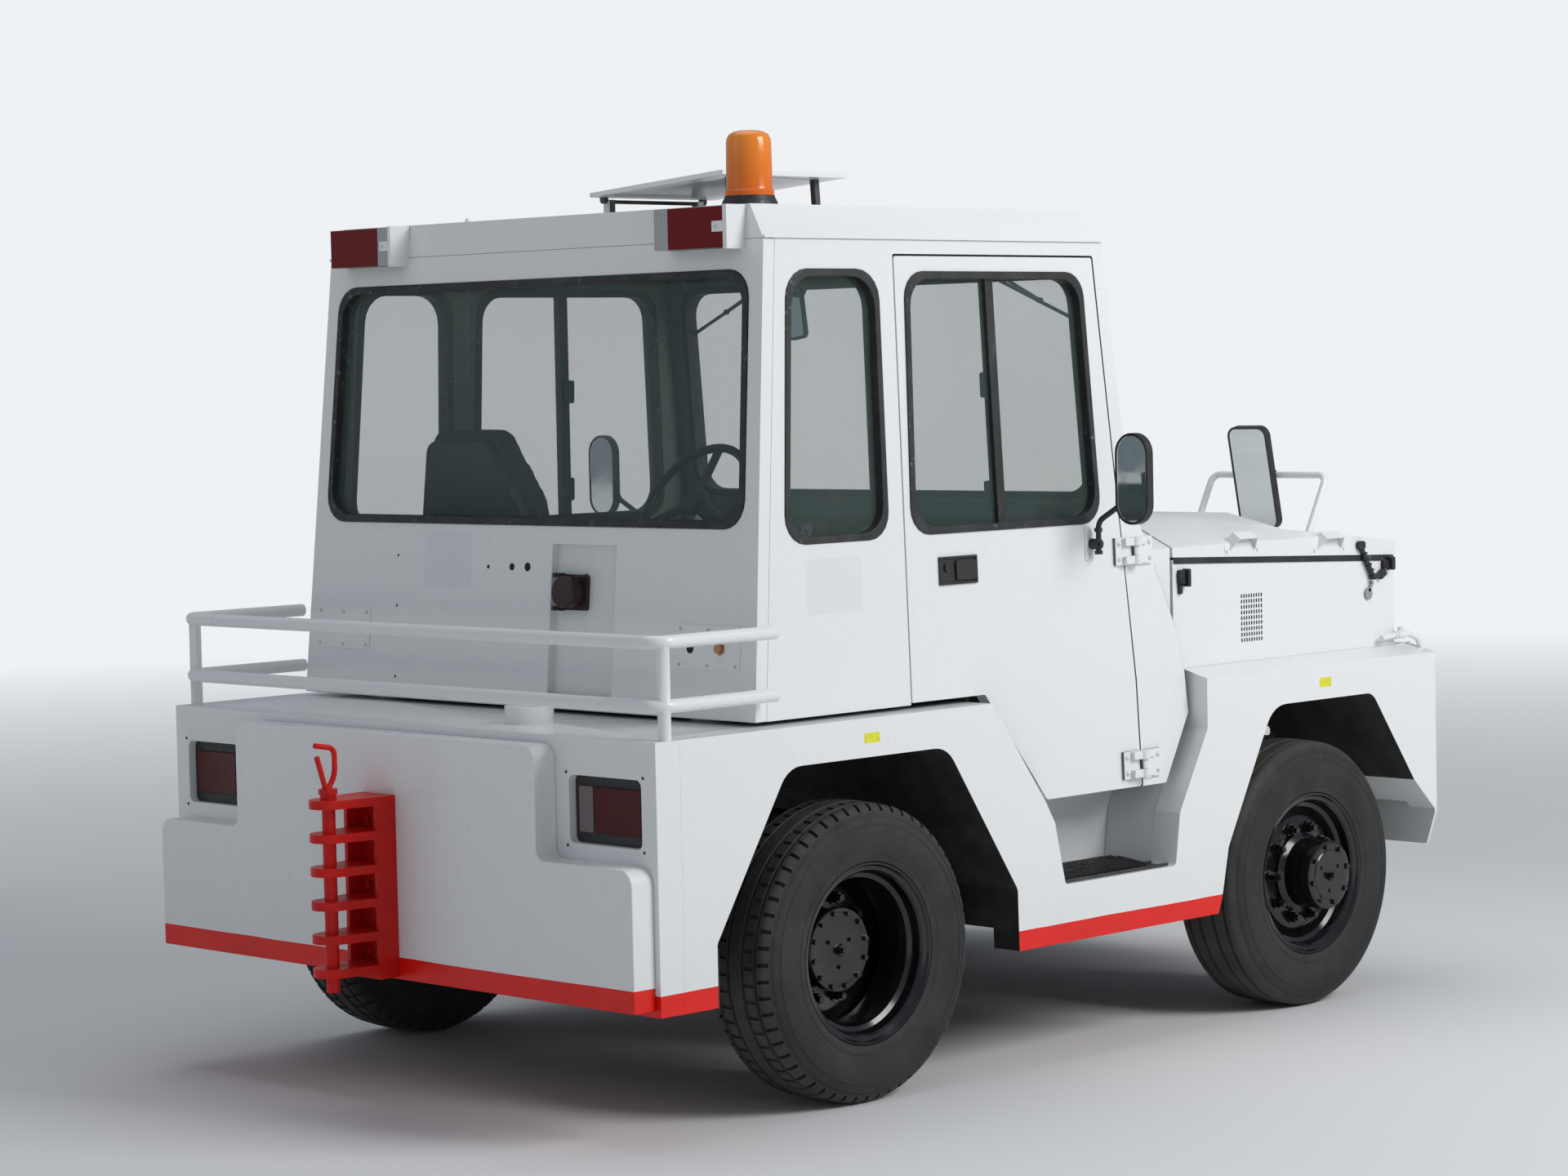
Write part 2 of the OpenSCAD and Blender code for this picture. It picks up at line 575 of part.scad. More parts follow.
mid_wall = (wall_t - glass_t) / 2;
module side_pane(pts, s) side(s) intersection() {
    yz(0, 3000) side_strip(mid_wall, mid_wall + glass_t);
    xz(cab_inner, far) polygon(pts);
}
module side_seal(outer, inner, s) side(s) intersection() {
    yz(0, 3000) side_strip(-4, wall_t + 4);
    xz(cab_inner, far) difference() {
        polygon(outer);
        polygon(inner);
    }
}
module cab_glass() color("lightblue", 0.4) placed() {
    for (s = [-1, 1]) side_pane(quarter_window(seal_w), s);
    intersection() {
        xz(-far, far) polygon([for (p = [[0, cab_z], [1, cab_z], [1, cab_top_z], [0, cab_top_z]])
            [rear_x(p[1]) + mid_wall + p[0] * glass_t, p[1]]]);
        yz(0, 1000) polygon(rear_window(seal_w));
    }
    intersection() {
        xz(-far, far) polygon([for (p = [[0, cowl_z], [1, cowl_z], [1, cab_top_z], [0, cab_top_z]])
            [screen_at(p[1]) - mid_wall - glass_t + p[0] * glass_t, p[1]]]);
        yz(1000, 3000) polygon(screen_window(seal_w));
    }
}
module window_seals() color(black) placed() {
    for (s = [-1, 1]) side_seal(quarter_window(0), quarter_window(seal_w), s);
    intersection() {
        xz(-far, far) polygon([for (p = [[-4, cab_z], [wall_t + 4, cab_z],
            [wall_t + 4, cab_top_z], [-4, cab_top_z]]) [rear_x(p[1]) + p[0], p[1]]]);
        yz(0, 1000) difference() {
            polygon(rear_window(0));
            polygon(rear_window(seal_w));
        }
    }
    intersection() {
        xz(-far, far) polygon([for (p = [[-4, cowl_z], [wall_t + 4, cowl_z],
            [wall_t + 4, cab_top_z], [-4, cab_top_z]]) [screen_at(p[1]) - p[0], p[1]]]);
        yz(1000, 3000) difference() {
            polygon(screen_window(0));
            polygon(screen_window(seal_w));
        }
    }
}

// Doors
hinge_zs = [850, 1503];
hinge_h = 84;
hinge_leaf = 88;
pintle_r = 6;
lean = atan((cab_w - cab_top_w) / 2 / (cab_top_z - cab_z));
module at_hinge(z) translate([hinge_x, side_y(z) + hinge_out, z]) rotate([lean, 0, 0]) children();
// One leaf with its barrel lengths; dir is -1 on the door and 1 on the pillar
module leaf(dir, spans, reach = hinge_leaf) {
    mirror([dir < 0 ? 1 : 0, 0, 0]) {
        block([12.5, -hinge_out + 1, -hinge_h / 2], [reach, -hinge_out + 10, hinge_h / 2]);
        block([reach - 30, -hinge_out - 1, -hinge_h / 2], [reach, -hinge_out + 2, hinge_h / 2]);
        for (b = spans) {
            translate([0, 0, b[0]]) cylinder(h = b[1] - b[0], r = hinge_r);
            block([0, -hinge_out + 3, b[0]], [14, 0, b[1]]);
        }
    }
}
door_spans = [[-hinge_h / 2, -14.5], [14.5, hinge_h / 2]];
pillar_spans = [[-13.5, 13.5]];
module door(s) side(s) color(white) placed() difference() {
    union() {
        intersection() {
            yz(0, 3000) side_strip(0, wall_t - 5);
            xz(cab_inner, far) polygon(door_pts(door_gap));
        }
        for (z = hinge_zs) at_hinge(z) leaf(-1, door_spans);
    }
    xz(cab_inner, far) polygon(door_window(0));
    for (z = hinge_zs) at_hinge(z) cylinder(h = 200, r = pintle_r + 0.05, center = true);
}
module door_left() door(1);
module door_right() door(-1);
// Upright bar between the two panes of a door, its ends drawn in by g
function divider_x(z) = 1500 - 20 * (z - sill_z) / (head_z - sill_z);
function divider(g) = let(a = sill_z + g, b = head_z - g)
    [[divider_x(a), a], [divider_x(a) + 35, a], [divider_x(b) + 35, b], [divider_x(b), b]];
module door_frame(s) color(black) placed() union() {
    side(s) intersection() {
        yz(0, 3000) side_strip(-5, wall_t);
        xz(cab_inner, far) difference() {
            polygon(door_window(0));
            polygon(door_window(seal_w));
        }
    }
    side(s) intersection() {
        yz(0, 3000) side_strip(8, wall_t - 8);
        xz(cab_inner, far) polygon(divider(10));
    }
}
module door_frame_left() door_frame(1);
module door_frame_right() door_frame(-1);
module door_glass(s) color("lightblue", 0.4) placed() difference() {
    side_pane(door_window(seal_w), s);
    xz(-far, far) polygon(divider(0));
}
module door_glass_left() door_glass(1);
module door_glass_right() door_glass(-1);

mirror_at = [1875, cab_w / 2 + 171, 1730];
mirror_t = 30;
mirror_foot = [1905, 1532];
arm_r = 9;
module rod(a, b, r) hull() for (p = [a, b]) translate(p) sphere(r = r, $fn = 24);
module mirror_case(s) side(s) color(black) placed() let(y = side_y(mirror_foot[1])) {
    translate(mirror_at) rotate([0, 90, 0]) linear_extrude(mirror_t)
        polygon(box_pts(-137, -62, 137, 62, 61));
    translate([mirror_foot[0], y + 3 * touch, mirror_foot[1]]) rotate([-90, 0, 0])
        cylinder(h = 36, r = 16);
    rod([mirror_foot[0], y + 30, mirror_foot[1] - 20], [mirror_foot[0] - 2, y + 34, 1590], arm_r);
    rod([mirror_foot[0] - 2, y + 34, 1590],
        [mirror_at[0] + mirror_t - 6, mirror_at[1] - 42, 1652], arm_r);
}
module mirror_left() mirror_case(1);
module mirror_right() mirror_case(-1);

// Bonnet
function lid_low(x) = lid_z0 + (lid_z1 - lid_z0) * (x - bonnet_x0) / (bonnet_x1 - bonnet_x0);
module bonnet_sides() color(white) placed() {
    difference() {
        xz(-bonnet_y, bonnet_y) polygon([[bonnet_x0 + 36, deck_z + fender_rise],
            [bonnet_x1, deck_z + fender_rise], [bonnet_x1, lid_low(bonnet_x1) - 8],
            [bonnet_x0, lid_low(bonnet_x0) - 8], [bonnet_x0, 1260]]);
        block([bonnet_x0 - 1, -bonnet_y + sheet_t, 0], [bonnet_x1 - sheet_t, bonnet_y - sheet_t, 2000]);
    }
    for (x = lid_hinges) at_lid_hinge(x) {
        leaf(1, pillar_spans, 50);
        block([12.5, -hinge_out - 7, -20], [50, -hinge_out + 1, 20]);
        cylinder(h = hinge_h, r = pintle_r, center = true);
    }
}
module lid_outer(g) intersection() {
    yz(bonnet_x0 + g, bonnet_x1 + 8 - g) polygon([[-bonnet_y - 6 + g, 1380 + g], [bonnet_y + 6 - g, 1380 + g],
        [bonnet_y - g, lid_z0 + 30 - g], [cowl_half - g, cowl_z - g], [-cowl_half + g, cowl_z - g],
        [-bonnet_y + g, lid_z0 + 30 - g]]);
    xz(-far, far) polygon([[bonnet_x0, lid_low(bonnet_x0)], [bonnet_x1 + 8, lid_low(bonnet_x1 + 8)],
        [bonnet_x1 + 8, 1468 - g], [2960, 1528 - g], [2830, 1586 - g], [bonnet_x0, cowl_z - g]]);
}
module bonnet_lid() color(white) placed() {
    difference() {
        lid_outer(0);
        translate([0, 0, -6]) lid_outer(sheet_t);
    }
    for (x = lid_hinges) at_lid_hinge(x) difference() {
        leaf(-1, door_spans, 32);
        cylinder(h = 200, r = pintle_r + 0.05, center = true);
    }
}

lid_slope = atan((lid_z0 - lid_z1) / (bonnet_x1 - bonnet_x0));
lid_hinges = [2620, 3200];
module at_lid_hinge(x) translate([x, bonnet_y + 3 + hinge_out, lid_low(x) - 4])
    rotate([0, 90 + lid_slope, 0]) children();

// Station of the hoop's feet, and the distances of its outer and inner leg from the middle
hoop_foot = [3151, -bonnet_y + 103.5, -bonnet_y + 574.5];
hoop_lean = 29;
hoop_r = 11;
hoop_bend = 30;
hoop_h = 213;
function lid_top(x) = 1528 - 60 * (x - 2960) / (bonnet_x1 + 8 - 2960);
module mirror_hoop() color(white) placed() difference() {
    translate([hoop_foot[0], 0, lid_top(hoop_foot[0])]) rotate([0, hoop_lean, 0]) {
        for (y = [hoop_foot[1], hoop_foot[2]])
            translate([0, y, -20]) cylinder(h = hoop_h + 20 - hoop_bend, r = hoop_r);
        translate([0, hoop_foot[2] - hoop_bend, hoop_h]) rotate([90, 0, 0])
            cylinder(h = hoop_foot[2] - hoop_foot[1] - 2 * hoop_bend, r = hoop_r);
        for (m = [0, 1]) translate([0, hoop_foot[2 - m], 0]) mirror([0, m, 0])
            translate([0, -hoop_bend, hoop_h - hoop_bend]) rotate([90, 0, 90])
            rotate_extrude(angle = 90) translate([hoop_bend, 0]) circle(r = hoop_r);
    }
    xz(-far, 0) polygon([[3000, 1300], [3300, 1300], [3300, lid_top(3300)], [3000, lid_top(3000)]]);
}
// The mirror hangs on the rear side of the hoop's bar: heights of its ends from the bar, and its half width
hoop_bar = [hoop_foot[0] + hoop_h * sin(hoop_lean), lid_top(hoop_foot[0]) + hoop_h * cos(hoop_lean)];
mirror_span = [-179, 173];
mirror_half = 80;
mirror_off = 41;
mirror_lean = 12;
module bonnet_mirror() color(black) placed()
    translate([hoop_bar[0], (hoop_foot[1] + hoop_foot[2]) / 2 + mirror_off, hoop_bar[1]])
    rotate([0, -mirror_lean, 0])
    translate([-hoop_r - touch, 0, 0]) rotate([0, -90, 0]) linear_extrude(28)
    polygon(box_pts(mirror_span[0], -mirror_half, mirror_span[1], mirror_half, 35));

// Rear coupling
ear_top = ear_z0 + (ear_count - 1) * ear_pitch + ear_t;
bolt_y = 34;
bolt_h = 10;
module ear() linear_extrude(ear_t) {
    translate([pin_x, 0]) circle(r = ear_w / 2);
    polygon([[-plate_proud - channel_d, -channel_w / 2], [-plate_proud - channel_d, channel_w / 2],
        [pin_x, ear_w / 2], [pin_x, -ear_w / 2]]);
    translate([-plate_proud - channel_d, -channel_w / 2]) square([channel_d, channel_w]);
}
module rear_coupling() color(red) placed() difference() {
    union() {
        difference() {
            block([-plate_proud - channel_d, -channel_w / 2, ear_z0 - 18],
                [-plate_proud, channel_w / 2, ear_top]);
            block([-plate_proud - channel_d - 1, -channel_w / 2 + channel_t, ear_z0],
                [-plate_proud - channel_t, channel_w / 2 - channel_t, ear_top + 1]);
        }
        for (i = [0:ear_count - 1]) translate([0, 0, ear_z0 + i * ear_pitch]) ear();
        for (i = [0:2:ear_count - 2], y = [-bolt_y, bolt_y])
            translate([-plate_proud - channel_t - bolt_h, y, ear_z0 + i * ear_pitch + 47]) rotate([0, 90, 0])
            cylinder(h = bolt_h + 1, r = 12, $fn = 6);
    }
    translate([pin_x, 0, 0]) cylinder(h = 2000, r = pin_r + pin_gap);
}
// Handle bent from round bar in the plane y = 0, with [reach, height] from the top of the collar:
// a straight prong that leans back, and a hook that curves forward, up and over to the rear
handle_r = 8;
collar_h = 30;
hook_x = 26;
hook_z = 60;
hook_rise = 32;
hook_foot_r = 80;
hook_top_r = 24;
hook_end = 80;
module bar_arc(x, z, r, a0, a1) translate([x, 0, z]) rotate([90, 0, 0]) rotate([0, 0, a0])
    rotate_extrude(angle = a1 - a0) translate([r, 0]) circle(r = handle_r);
// The straight lengths are a hair thinner and run on into the bends
lap = 2;
module handle() let(r = handle_r - 0.2) {
    translate([-6, 0, -9]) rotate([0, -17, 0]) cylinder(h = 106, r = r);
    bar_arc(hook_x - hook_foot_r, hook_z, hook_foot_r, -50, 0);
    translate([hook_x, 0, hook_z - lap]) cylinder(h = hook_rise + 2 * lap, r = r);
    bar_arc(hook_x - hook_top_r, hook_z + hook_rise, hook_top_r, 0, hook_end);
    translate([hook_x - hook_top_r * (1 - cos(hook_end)), 0, hook_z + hook_rise + hook_top_r * sin(hook_end)])
        rotate([0, -hook_end, 0]) translate([0, 0, -lap]) cylinder(h = 50 + lap, r = r);
}
module coupling_pin() color(red) placed() translate([pin_x, 0, 0]) {
    translate([0, 0, ear_z0 - 45]) cylinder(h = ear_top - ear_z0 + 60, r = pin_r);
    translate([0, 0, ear_top + touch]) cylinder(h = collar_h / 2, r = pin_r + 4);
    translate([0, 0, ear_top + collar_h / 2]) cylinder(h = collar_h / 2, r = pin_r + 8);
    translate([0, 0, ear_top + collar_h]) handle();
}

module front_coupling() color(red) placed() difference() {
    union() {
        block([body_l, -140, 480], [body_l + 25, 140, 700]);
        for (z = [530, 625]) xy(z, z + 25) union() {
            translate([body_l + 90, 0]) circle(r = 60);
            translate([body_l, -60]) square([90, 120]);
        }
    }
    translate([body_l + 90, 0, 0]) cylinder(h = 1000, r = 19);
}

// Guard rail
module rail_path(z) translate([0, 0, z]) {
    translate([rail_x0, 0, 0]) rotate([90, 0, 0])
        cylinder(h = 2 * (rail_y - rail_bend), r = tube_r, center = true);
    for (s = [-1, 1]) side(s) {
        translate([rail_x0 + rail_bend, rail_y, 0]) rotate([0, 90, 0])
            cylinder(h = rail_x1 - rail_x0 - rail_bend, r = tube_r);
        translate([rail_x0 + rail_bend, rail_y - rail_bend, 0]) rotate([0, 0, 90])
            rotate_extrude(angle = 90) translate([rail_bend, 0]) circle(r = tube_r);
    }
}
module rail() color(white) placed() {
    rail_path(rail_z0);
    rail_path(rail_z1);
    for (s = [-1, 1]) side(s) translate([rail_x0 + rail_bend * 0.6, rail_y - rail_bend * 0.12, deck_z])
        cylinder(h = rail_z1 - deck_z, r = tube_r - 1);
}

// Lamps
module rear_lamps() color("darkred") placed() for (s = [-1, 1]) side(s) {
    block([lamp_depth - 50, lamp_y0, lamp_z0], [lamp_depth, lamp_y1, lamp_z1]);
    xz(cab_top_w / 2 - 367, cab_top_w / 2 - 72) let(z0 = cab_top_z - 24, z1 = roof_top - 6)
        polygon([[490, z0], [rear_x(z0), z0], [cab_top_x, cab_top_z],
        [cab_top_x + 8 * (z1 - cab_top_z) / roof_h, z1], [490, z1]]);
}
module headlamps() color("ivory") placed() for (s = [-1, 1]) side(s)
    translate([body_l, half_w - 283, 820]) rotate([0, 90, 0]) cylinder(h = 40, r = 85);

beacon = [720, -cab_top_w / 2 + 210];
beacon_foot = 30;
dome_r = 64;
module beacon_base() color(black) placed() translate([beacon[0], beacon[1], roof_top])
    cylinder(h = beacon_foot, r1 = 82, r2 = 71);
// Lens profile: [radius, height above the foot]
dome = [[0, 0], [70, 0], [70, 14], [66, 18], [dome_r, 150], [60, 168], [48, 179], [30, 183], [0, 184]];
module beacon_lens() color("orange", 0.7) placed()
    translate([beacon[0], beacon[1], roof_top + beacon_foot]) rotate_extrude() polygon(dome);

// Inside the cab
seat_y1 = cab_w / 2 - 293;
seat_y0 = seat_y1 - 500;
seat_z = 1300;
// Side profile of the cushion and the backrest in one: [station, height above the seat's base]
seat_profile = [[722, 0], [1240, 0], [1262, 60], [1250, 125], [860, 118], [806, 560], [776, 625],
    [706, 612], [694, 560], [722, 100]];
module seat() color("#26282c") placed() {
    block([780, seat_y0 + 40, cab_z + plate_t], [1180, seat_y1 - 40, seat_z + 5]);
    xz(seat_y0, seat_y1) polygon([for (p = seat_profile) [p[0], seat_z + p[1]]]);
}
dash_y = foot_y - 38;
module dashboard() color(black) placed() {
    block([1960, -dash_y, 1250], [foot_x1, dash_y, 1488]);
    translate(steer_at) rotate([0, -steer_tilt, 0]) cylinder(h = 395, r = 28);
}
steer_at = [1965, (seat_y0 + seat_y1) / 2, 1424];
steer_tilt = 55;
module steering_wheel() color(black) placed() translate(steer_at) rotate([0, -steer_tilt, 0])
    translate([0, 0, 395 + 15 + touch]) {
    rotate_extrude() translate([205, 0]) circle(r = 14);
    cylinder(h = 30, r = 45, center = true);
    for (a = [0:120:240]) rotate([0, 0, a]) translate([0, -14, -6]) cube([205, 28, 12]);
}

chassis_frame();
engine_block();
rear_axle();
front_axle();
side_left();
side_right();
rear_wall();
rear_plate();
deck();
front_plate();
steps();
cab_floor();
cab_rear_wall();
cab_side_left();
cab_side_right();
cab_front();
roof();
cab_glass();
window_seals();
bonnet_sides();
rail();
rear_coupling();
coupling_pin();
front_coupling();
rear_lamps();
headlamps();
beacon_base();
beacon_lens();
seat();
dashboard();
steering_wheel();
roof_hatch();
bonnet_lid();
mirror_hoop();
bonnet_mirror();
door_left();
door_right();
door_frame_left();
door_frame_right();
door_glass_left();
door_glass_right();
mirror_left();
mirror_right();
knuckle_left();
knuckle_right();
wheel_rear_left();
wheel_rear_right();
wheel_front_left();
wheel_front_right();
tyre_rear_left();
tyre_rear_right();
tyre_front_left();
tyre_front_right();
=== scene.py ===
import json
import math

import bmesh
import bpy
from mathutils import Matrix, Vector


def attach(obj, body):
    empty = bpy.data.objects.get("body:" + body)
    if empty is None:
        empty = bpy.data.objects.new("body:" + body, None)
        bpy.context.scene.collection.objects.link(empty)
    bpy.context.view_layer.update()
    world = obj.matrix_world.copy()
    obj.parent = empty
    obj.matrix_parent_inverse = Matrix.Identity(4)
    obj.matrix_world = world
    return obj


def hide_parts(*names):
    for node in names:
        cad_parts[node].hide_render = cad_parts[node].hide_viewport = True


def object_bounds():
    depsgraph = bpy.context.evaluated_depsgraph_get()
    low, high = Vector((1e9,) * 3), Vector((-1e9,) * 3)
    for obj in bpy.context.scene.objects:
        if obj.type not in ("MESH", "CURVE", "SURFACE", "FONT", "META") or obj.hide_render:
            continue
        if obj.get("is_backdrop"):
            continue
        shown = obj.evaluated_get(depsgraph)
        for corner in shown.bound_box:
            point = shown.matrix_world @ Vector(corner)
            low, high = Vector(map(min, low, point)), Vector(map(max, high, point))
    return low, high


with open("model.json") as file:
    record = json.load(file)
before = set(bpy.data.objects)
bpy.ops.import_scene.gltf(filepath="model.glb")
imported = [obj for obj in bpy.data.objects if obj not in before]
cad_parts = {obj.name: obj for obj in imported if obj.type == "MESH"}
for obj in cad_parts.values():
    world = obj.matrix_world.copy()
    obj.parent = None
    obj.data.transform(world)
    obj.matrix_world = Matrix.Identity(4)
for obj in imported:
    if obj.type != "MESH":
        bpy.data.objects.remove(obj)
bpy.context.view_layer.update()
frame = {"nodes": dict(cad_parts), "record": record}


# Viewpoint
# The tractor is seen from behind its right rear corner, a little above an adult's eye level,
# through a long lens. Stations counted from the body's rear face become frame places here.
STATION = 1.703
EYE = (-6.8218 - STATION, -8.3061, 2.073)
LENS = 86.394

yaw, pitch, roll = math.radians(44.694), math.radians(-3.2992), math.radians(-1.2226)
ahead = Vector((math.cos(pitch) * math.cos(yaw), math.cos(pitch) * math.sin(yaw), math.sin(pitch)))
level = Vector((math.sin(yaw), -math.cos(yaw), 0))
upright = level.cross(ahead)
sideways = level * math.cos(roll) + upright * math.sin(roll)
upwards = upright * math.cos(roll) - level * math.sin(roll)
camera = bpy.data.objects.new("view_camera", bpy.data.cameras.new("view_camera"))
camera.data.lens = LENS
camera.data.sensor_width = 36
camera.data.sensor_fit = "HORIZONTAL"
camera.matrix_world = Matrix.Translation(EYE) @ Matrix((sideways, upwards, -ahead)).transposed().to_4x4()
bpy.context.scene.collection.objects.link(camera)
bpy.context.scene.camera = camera


# Studio
# A pale matt floor that fades into an even pale surround, one broad lamp on the tractor's right
# side, a weaker one behind it and a dim overhead one, so that white paint keeps its shading.
SURROUND = (0.86, 0.88, 0.90, 1)


def link_in(obj):
    """Puts an object into the scene."""
    bpy.context.scene.collection.objects.link(obj)
    return obj


def built(name, bm, material, smooth=30):
    """A mesh object from a bmesh with one or more materials, smoothed up to an angle."""
    mesh = bpy.data.meshes.new(name)
    bm.to_mesh(mesh)
    bm.free()
    for each in material if isinstance(material, list) else [material]:
        mesh.materials.append(each)
    mesh.shade_smooth()
    mesh.set_sharp_from_angle(angle=math.radians(smooth))
    return link_in(bpy.data.objects.new(name, mesh))


def shade(tree, kind, inputs=None, **settings):
    """A shader node with its settings made, and each named input joined to a socket or given a value."""
    node = tree.nodes.new(kind)
    for name, value in settings.items():
        setattr(node, name, value)
    for name, value in (inputs or {}).items():
        if isinstance(value, bpy.types.NodeSocket):
            tree.links.new(value, node.inputs[name])
        else:
            node.inputs[name].default_value = value
    return node


floor_material = bpy.data.materials.new("studio_floor")
floor_material.use_nodes = True
tree = floor_material.node_tree
tree.nodes.clear()
place = shade(tree, "ShaderNodeTexCoord")
reach = shade(tree, "ShaderNodeVectorMath", {0: place.outputs["Object"]}, operation="LENGTH")
fade = shade(tree, "ShaderNodeMapRange", {"Value": reach.outputs["Value"], "From Min": 4.5, "From Max": 17})
matt = shade(tree, "ShaderNodeBsdfDiffuse", {"Color": (0.74, 0.74, 0.735, 1)})
glow = shade(tree, "ShaderNodeEmission", {"Color": SURROUND})
mixed = shade(tree, "ShaderNodeMixShader", {0: fade.outputs["Result"], 1: matt.outputs[0], 2: glow.outputs[0]})
shade(tree, "ShaderNodeOutputMaterial", {"Surface": mixed.outputs[0]})
bm = bmesh.new()
bmesh.ops.create_circle(bm, cap_ends=True, segments=96, radius=60)
bmesh.ops.translate(bm, verts=bm.verts, vec=(0, 0, -0.001))
floor = built("studio_floor", bm, floor_material)
floor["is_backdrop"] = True

world = bpy.data.worlds.new("studio")
bpy.context.scene.world = world
world.use_nodes = True
tree = world.node_tree
soft = tree.nodes["Background"]
soft.inputs["Color"].default_value = (0.80, 0.88, 1.0, 1)
soft.inputs["Strength"].default_value = 0.34
seen = shade(tree, "ShaderNodeBackground", {"Color": SURROUND})
rays = shade(tree, "ShaderNodeLightPath").outputs
through = shade(tree, "ShaderNodeMath", {0: rays["Is Camera Ray"], 1: rays["Is Transmission Ray"]},
                operation="MAXIMUM")
mixed = shade(tree, "ShaderNodeMixShader", {0: through.outputs[0], 1: soft.outputs[0], 2: seen.outputs[0]})
tree.links.new(mixed.outputs[0], tree.nodes["World Output"].inputs["Surface"])
bpy.context.scene.view_settings.view_transform = "Standard"

for name, spot, size, watts in [("side_lamp", (2.5, -8.5, 6.5), 4.5, 600), ("rear_lamp", (-9, 3.5, 6), 5, 30),
                                ("top_lamp", (0, 1, 8.5), 6, 140)]:
    lamp = link_in(bpy.data.objects.new(name, bpy.data.lights.new(name, "AREA")))
    lamp.data.size = size
    lamp.data.energy = watts
    lamp.location = spot
    lamp.rotation_euler = (Vector((0, 0, 1)) - Vector(spot)).to_track_quat("-Z", "Y").to_euler()


# Lower body
# Welded steel plate, sprayed gloss white, with a red band along the lower edges. The plates are
# the CAD solids with their edges broken, so that the paint catches light along them.
WHITE = (0.80, 0.81, 0.80, 1)
RED = (0.82, 0.010, 0.003, 1)
GRIME = (0.30, 0.27, 0.23, 1)


def finish(name, colour, roughness, metallic=0.0, coat=0.0, specular=0.5, alpha=1.0):
    """A new material with plain values on its shader's own sockets."""
    material = bpy.data.materials.new(name)
    material.use_nodes = True
    material.diffuse_color = colour
    for socket, value in (("Base Color", colour), ("Roughness", roughness), ("Metallic", metallic),
                          ("Coat Weight", coat), ("Coat Roughness", 0.08), ("Specular IOR Level", specular),
                          ("Alpha", alpha)):
        material.node_tree.nodes["Principled BSDF"].inputs[socket].default_value = value
    return material


def joined(material, source, socket):
    """Joins a source to one of the shader's sockets."""
    material.node_tree.links.new(source, material.node_tree.nodes["Principled BSDF"].inputs[socket])


def own_place(material):
    """The piece's own coordinates."""
    return shade(material.node_tree, "ShaderNodeTexCoord").outputs["Object"]


def noise(material, scale, detail, stretch=(1, 1, 1)):
    """Noise on the piece's own coordinates, stretched along each axis."""
    turn = shade(material.node_tree, "ShaderNodeMapping", {"Vector": own_place(material), "Scale": stretch})
    return shade(material.node_tree, "ShaderNodeTexNoise", {
        "Vector": turn.outputs["Vector"], "Scale": scale, "Detail": detail, "Roughness": 0.55}).outputs["Fac"]


def ranged(material, source, low, high, to_low=0.0, to_high=1.0):
    """A value carried from one range to another and held inside it."""
    return shade(material.node_tree, "ShaderNodeMapRange", {
        "Value": source, "From Min": low, "From Max": high, "To Min": to_low, "To Max": to_high}).outputs["Result"]


def blended(material, factor, first, second):
    """Two colours, or a socket and a colour, mixed by a factor socket."""
    return shade(material.node_tree, "ShaderNodeMix", {"Factor": factor, 6: first, 7: second},
                 data_type="RGBA").outputs[2]


def times(material, first, second):
    """The product of two value sockets."""
    return shade(material.node_tree, "ShaderNodeMath", {0: first, 1: second}, operation="MULTIPLY").outputs[0]


def bumped(material, height, strength, distance=0.001):
    """Fine relief from a height socket."""
    relief = shade(material.node_tree, "ShaderNodeBump", {
        "Strength": strength, "Distance": distance, "Height": height})
    joined(material, relief.outputs["Normal"], "Normal")


def height_of(material):
    """A piece's own height in metres."""
    return shade(material.node_tree, "ShaderNodeSeparateXYZ", {0: own_place(material)}).outputs["Z"]


def mottled(material, cloud, seen, first, second, most=1.0):
    """Two colours mixed by a noise of a scale and detail, over the part of its range that is seen."""
    return blended(material, ranged(material, noise(material, *cloud), *seen, 0.0, most), first, second)


def tinted(material, tone):
    """Joins a colour to the shader."""
    joined(material, tone, "Base Color")


def roughened(material, cloud, seen, between):
    """Roughness that a noise of a scale and detail carries between two values."""
    joined(material, ranged(material, noise(material, *cloud), *seen, *between), "Roughness")


def body_paint(name, band_top=0.0):
    """Gloss white over plate, a little uneven, dusty low down, with a red band up to a height."""
    material = finish(name, WHITE, 0.28, coat=0.25, specular=0.38)
    low_dust = times(material, ranged(material, height_of(material), 0.62, 0.30),
                     ranged(material, noise(material, 7, 5), 0.45, 0.80, 0.02, 0.12))
    streaks = times(material, ranged(material, noise(material, 4, 4, (6, 6, 0.5)), 0.62, 0.88),
                    ranged(material, noise(material, 1.3, 2), 0.50, 0.75, 0.0, 0.035))
    tone = mottled(material, (1.1, 1), (0.15, 0.85), WHITE, (0.792, 0.804, 0.802, 1))
    tone = blended(material, streaks, tone, (0.56, 0.55, 0.52, 1))
    tone = blended(material, low_dust, tone, GRIME)
    if band_top:
        wobble = ranged(material, noise(material, 3, 2), 0.3, 0.7, band_top - 0.0015, band_top + 0.0015)
        under = shade(material.node_tree, "ShaderNodeMath", {0: height_of(material), 1: wobble},
                      operation="LESS_THAN").outputs[0]
        band = mottled(material, (9, 4), (0.35, 0.75), RED, (0.70, 0.010, 0.004, 1))
        tone = blended(material, under, tone, band)
        joined(material, ranged(material, under, 0, 1, 0.25, 0.02), "Coat Weight")
    tinted(material, tone)
    roughened(material, (5, 3), (0.3, 0.8), (0.26, 0.34))
    bumped(material, noise(material, 2.2, 1), 0.03, 0.004)
    return material


body_of = {node: body for body, nodes in frame["record"]["behaviour"]["bodies"].items() for node in nodes}


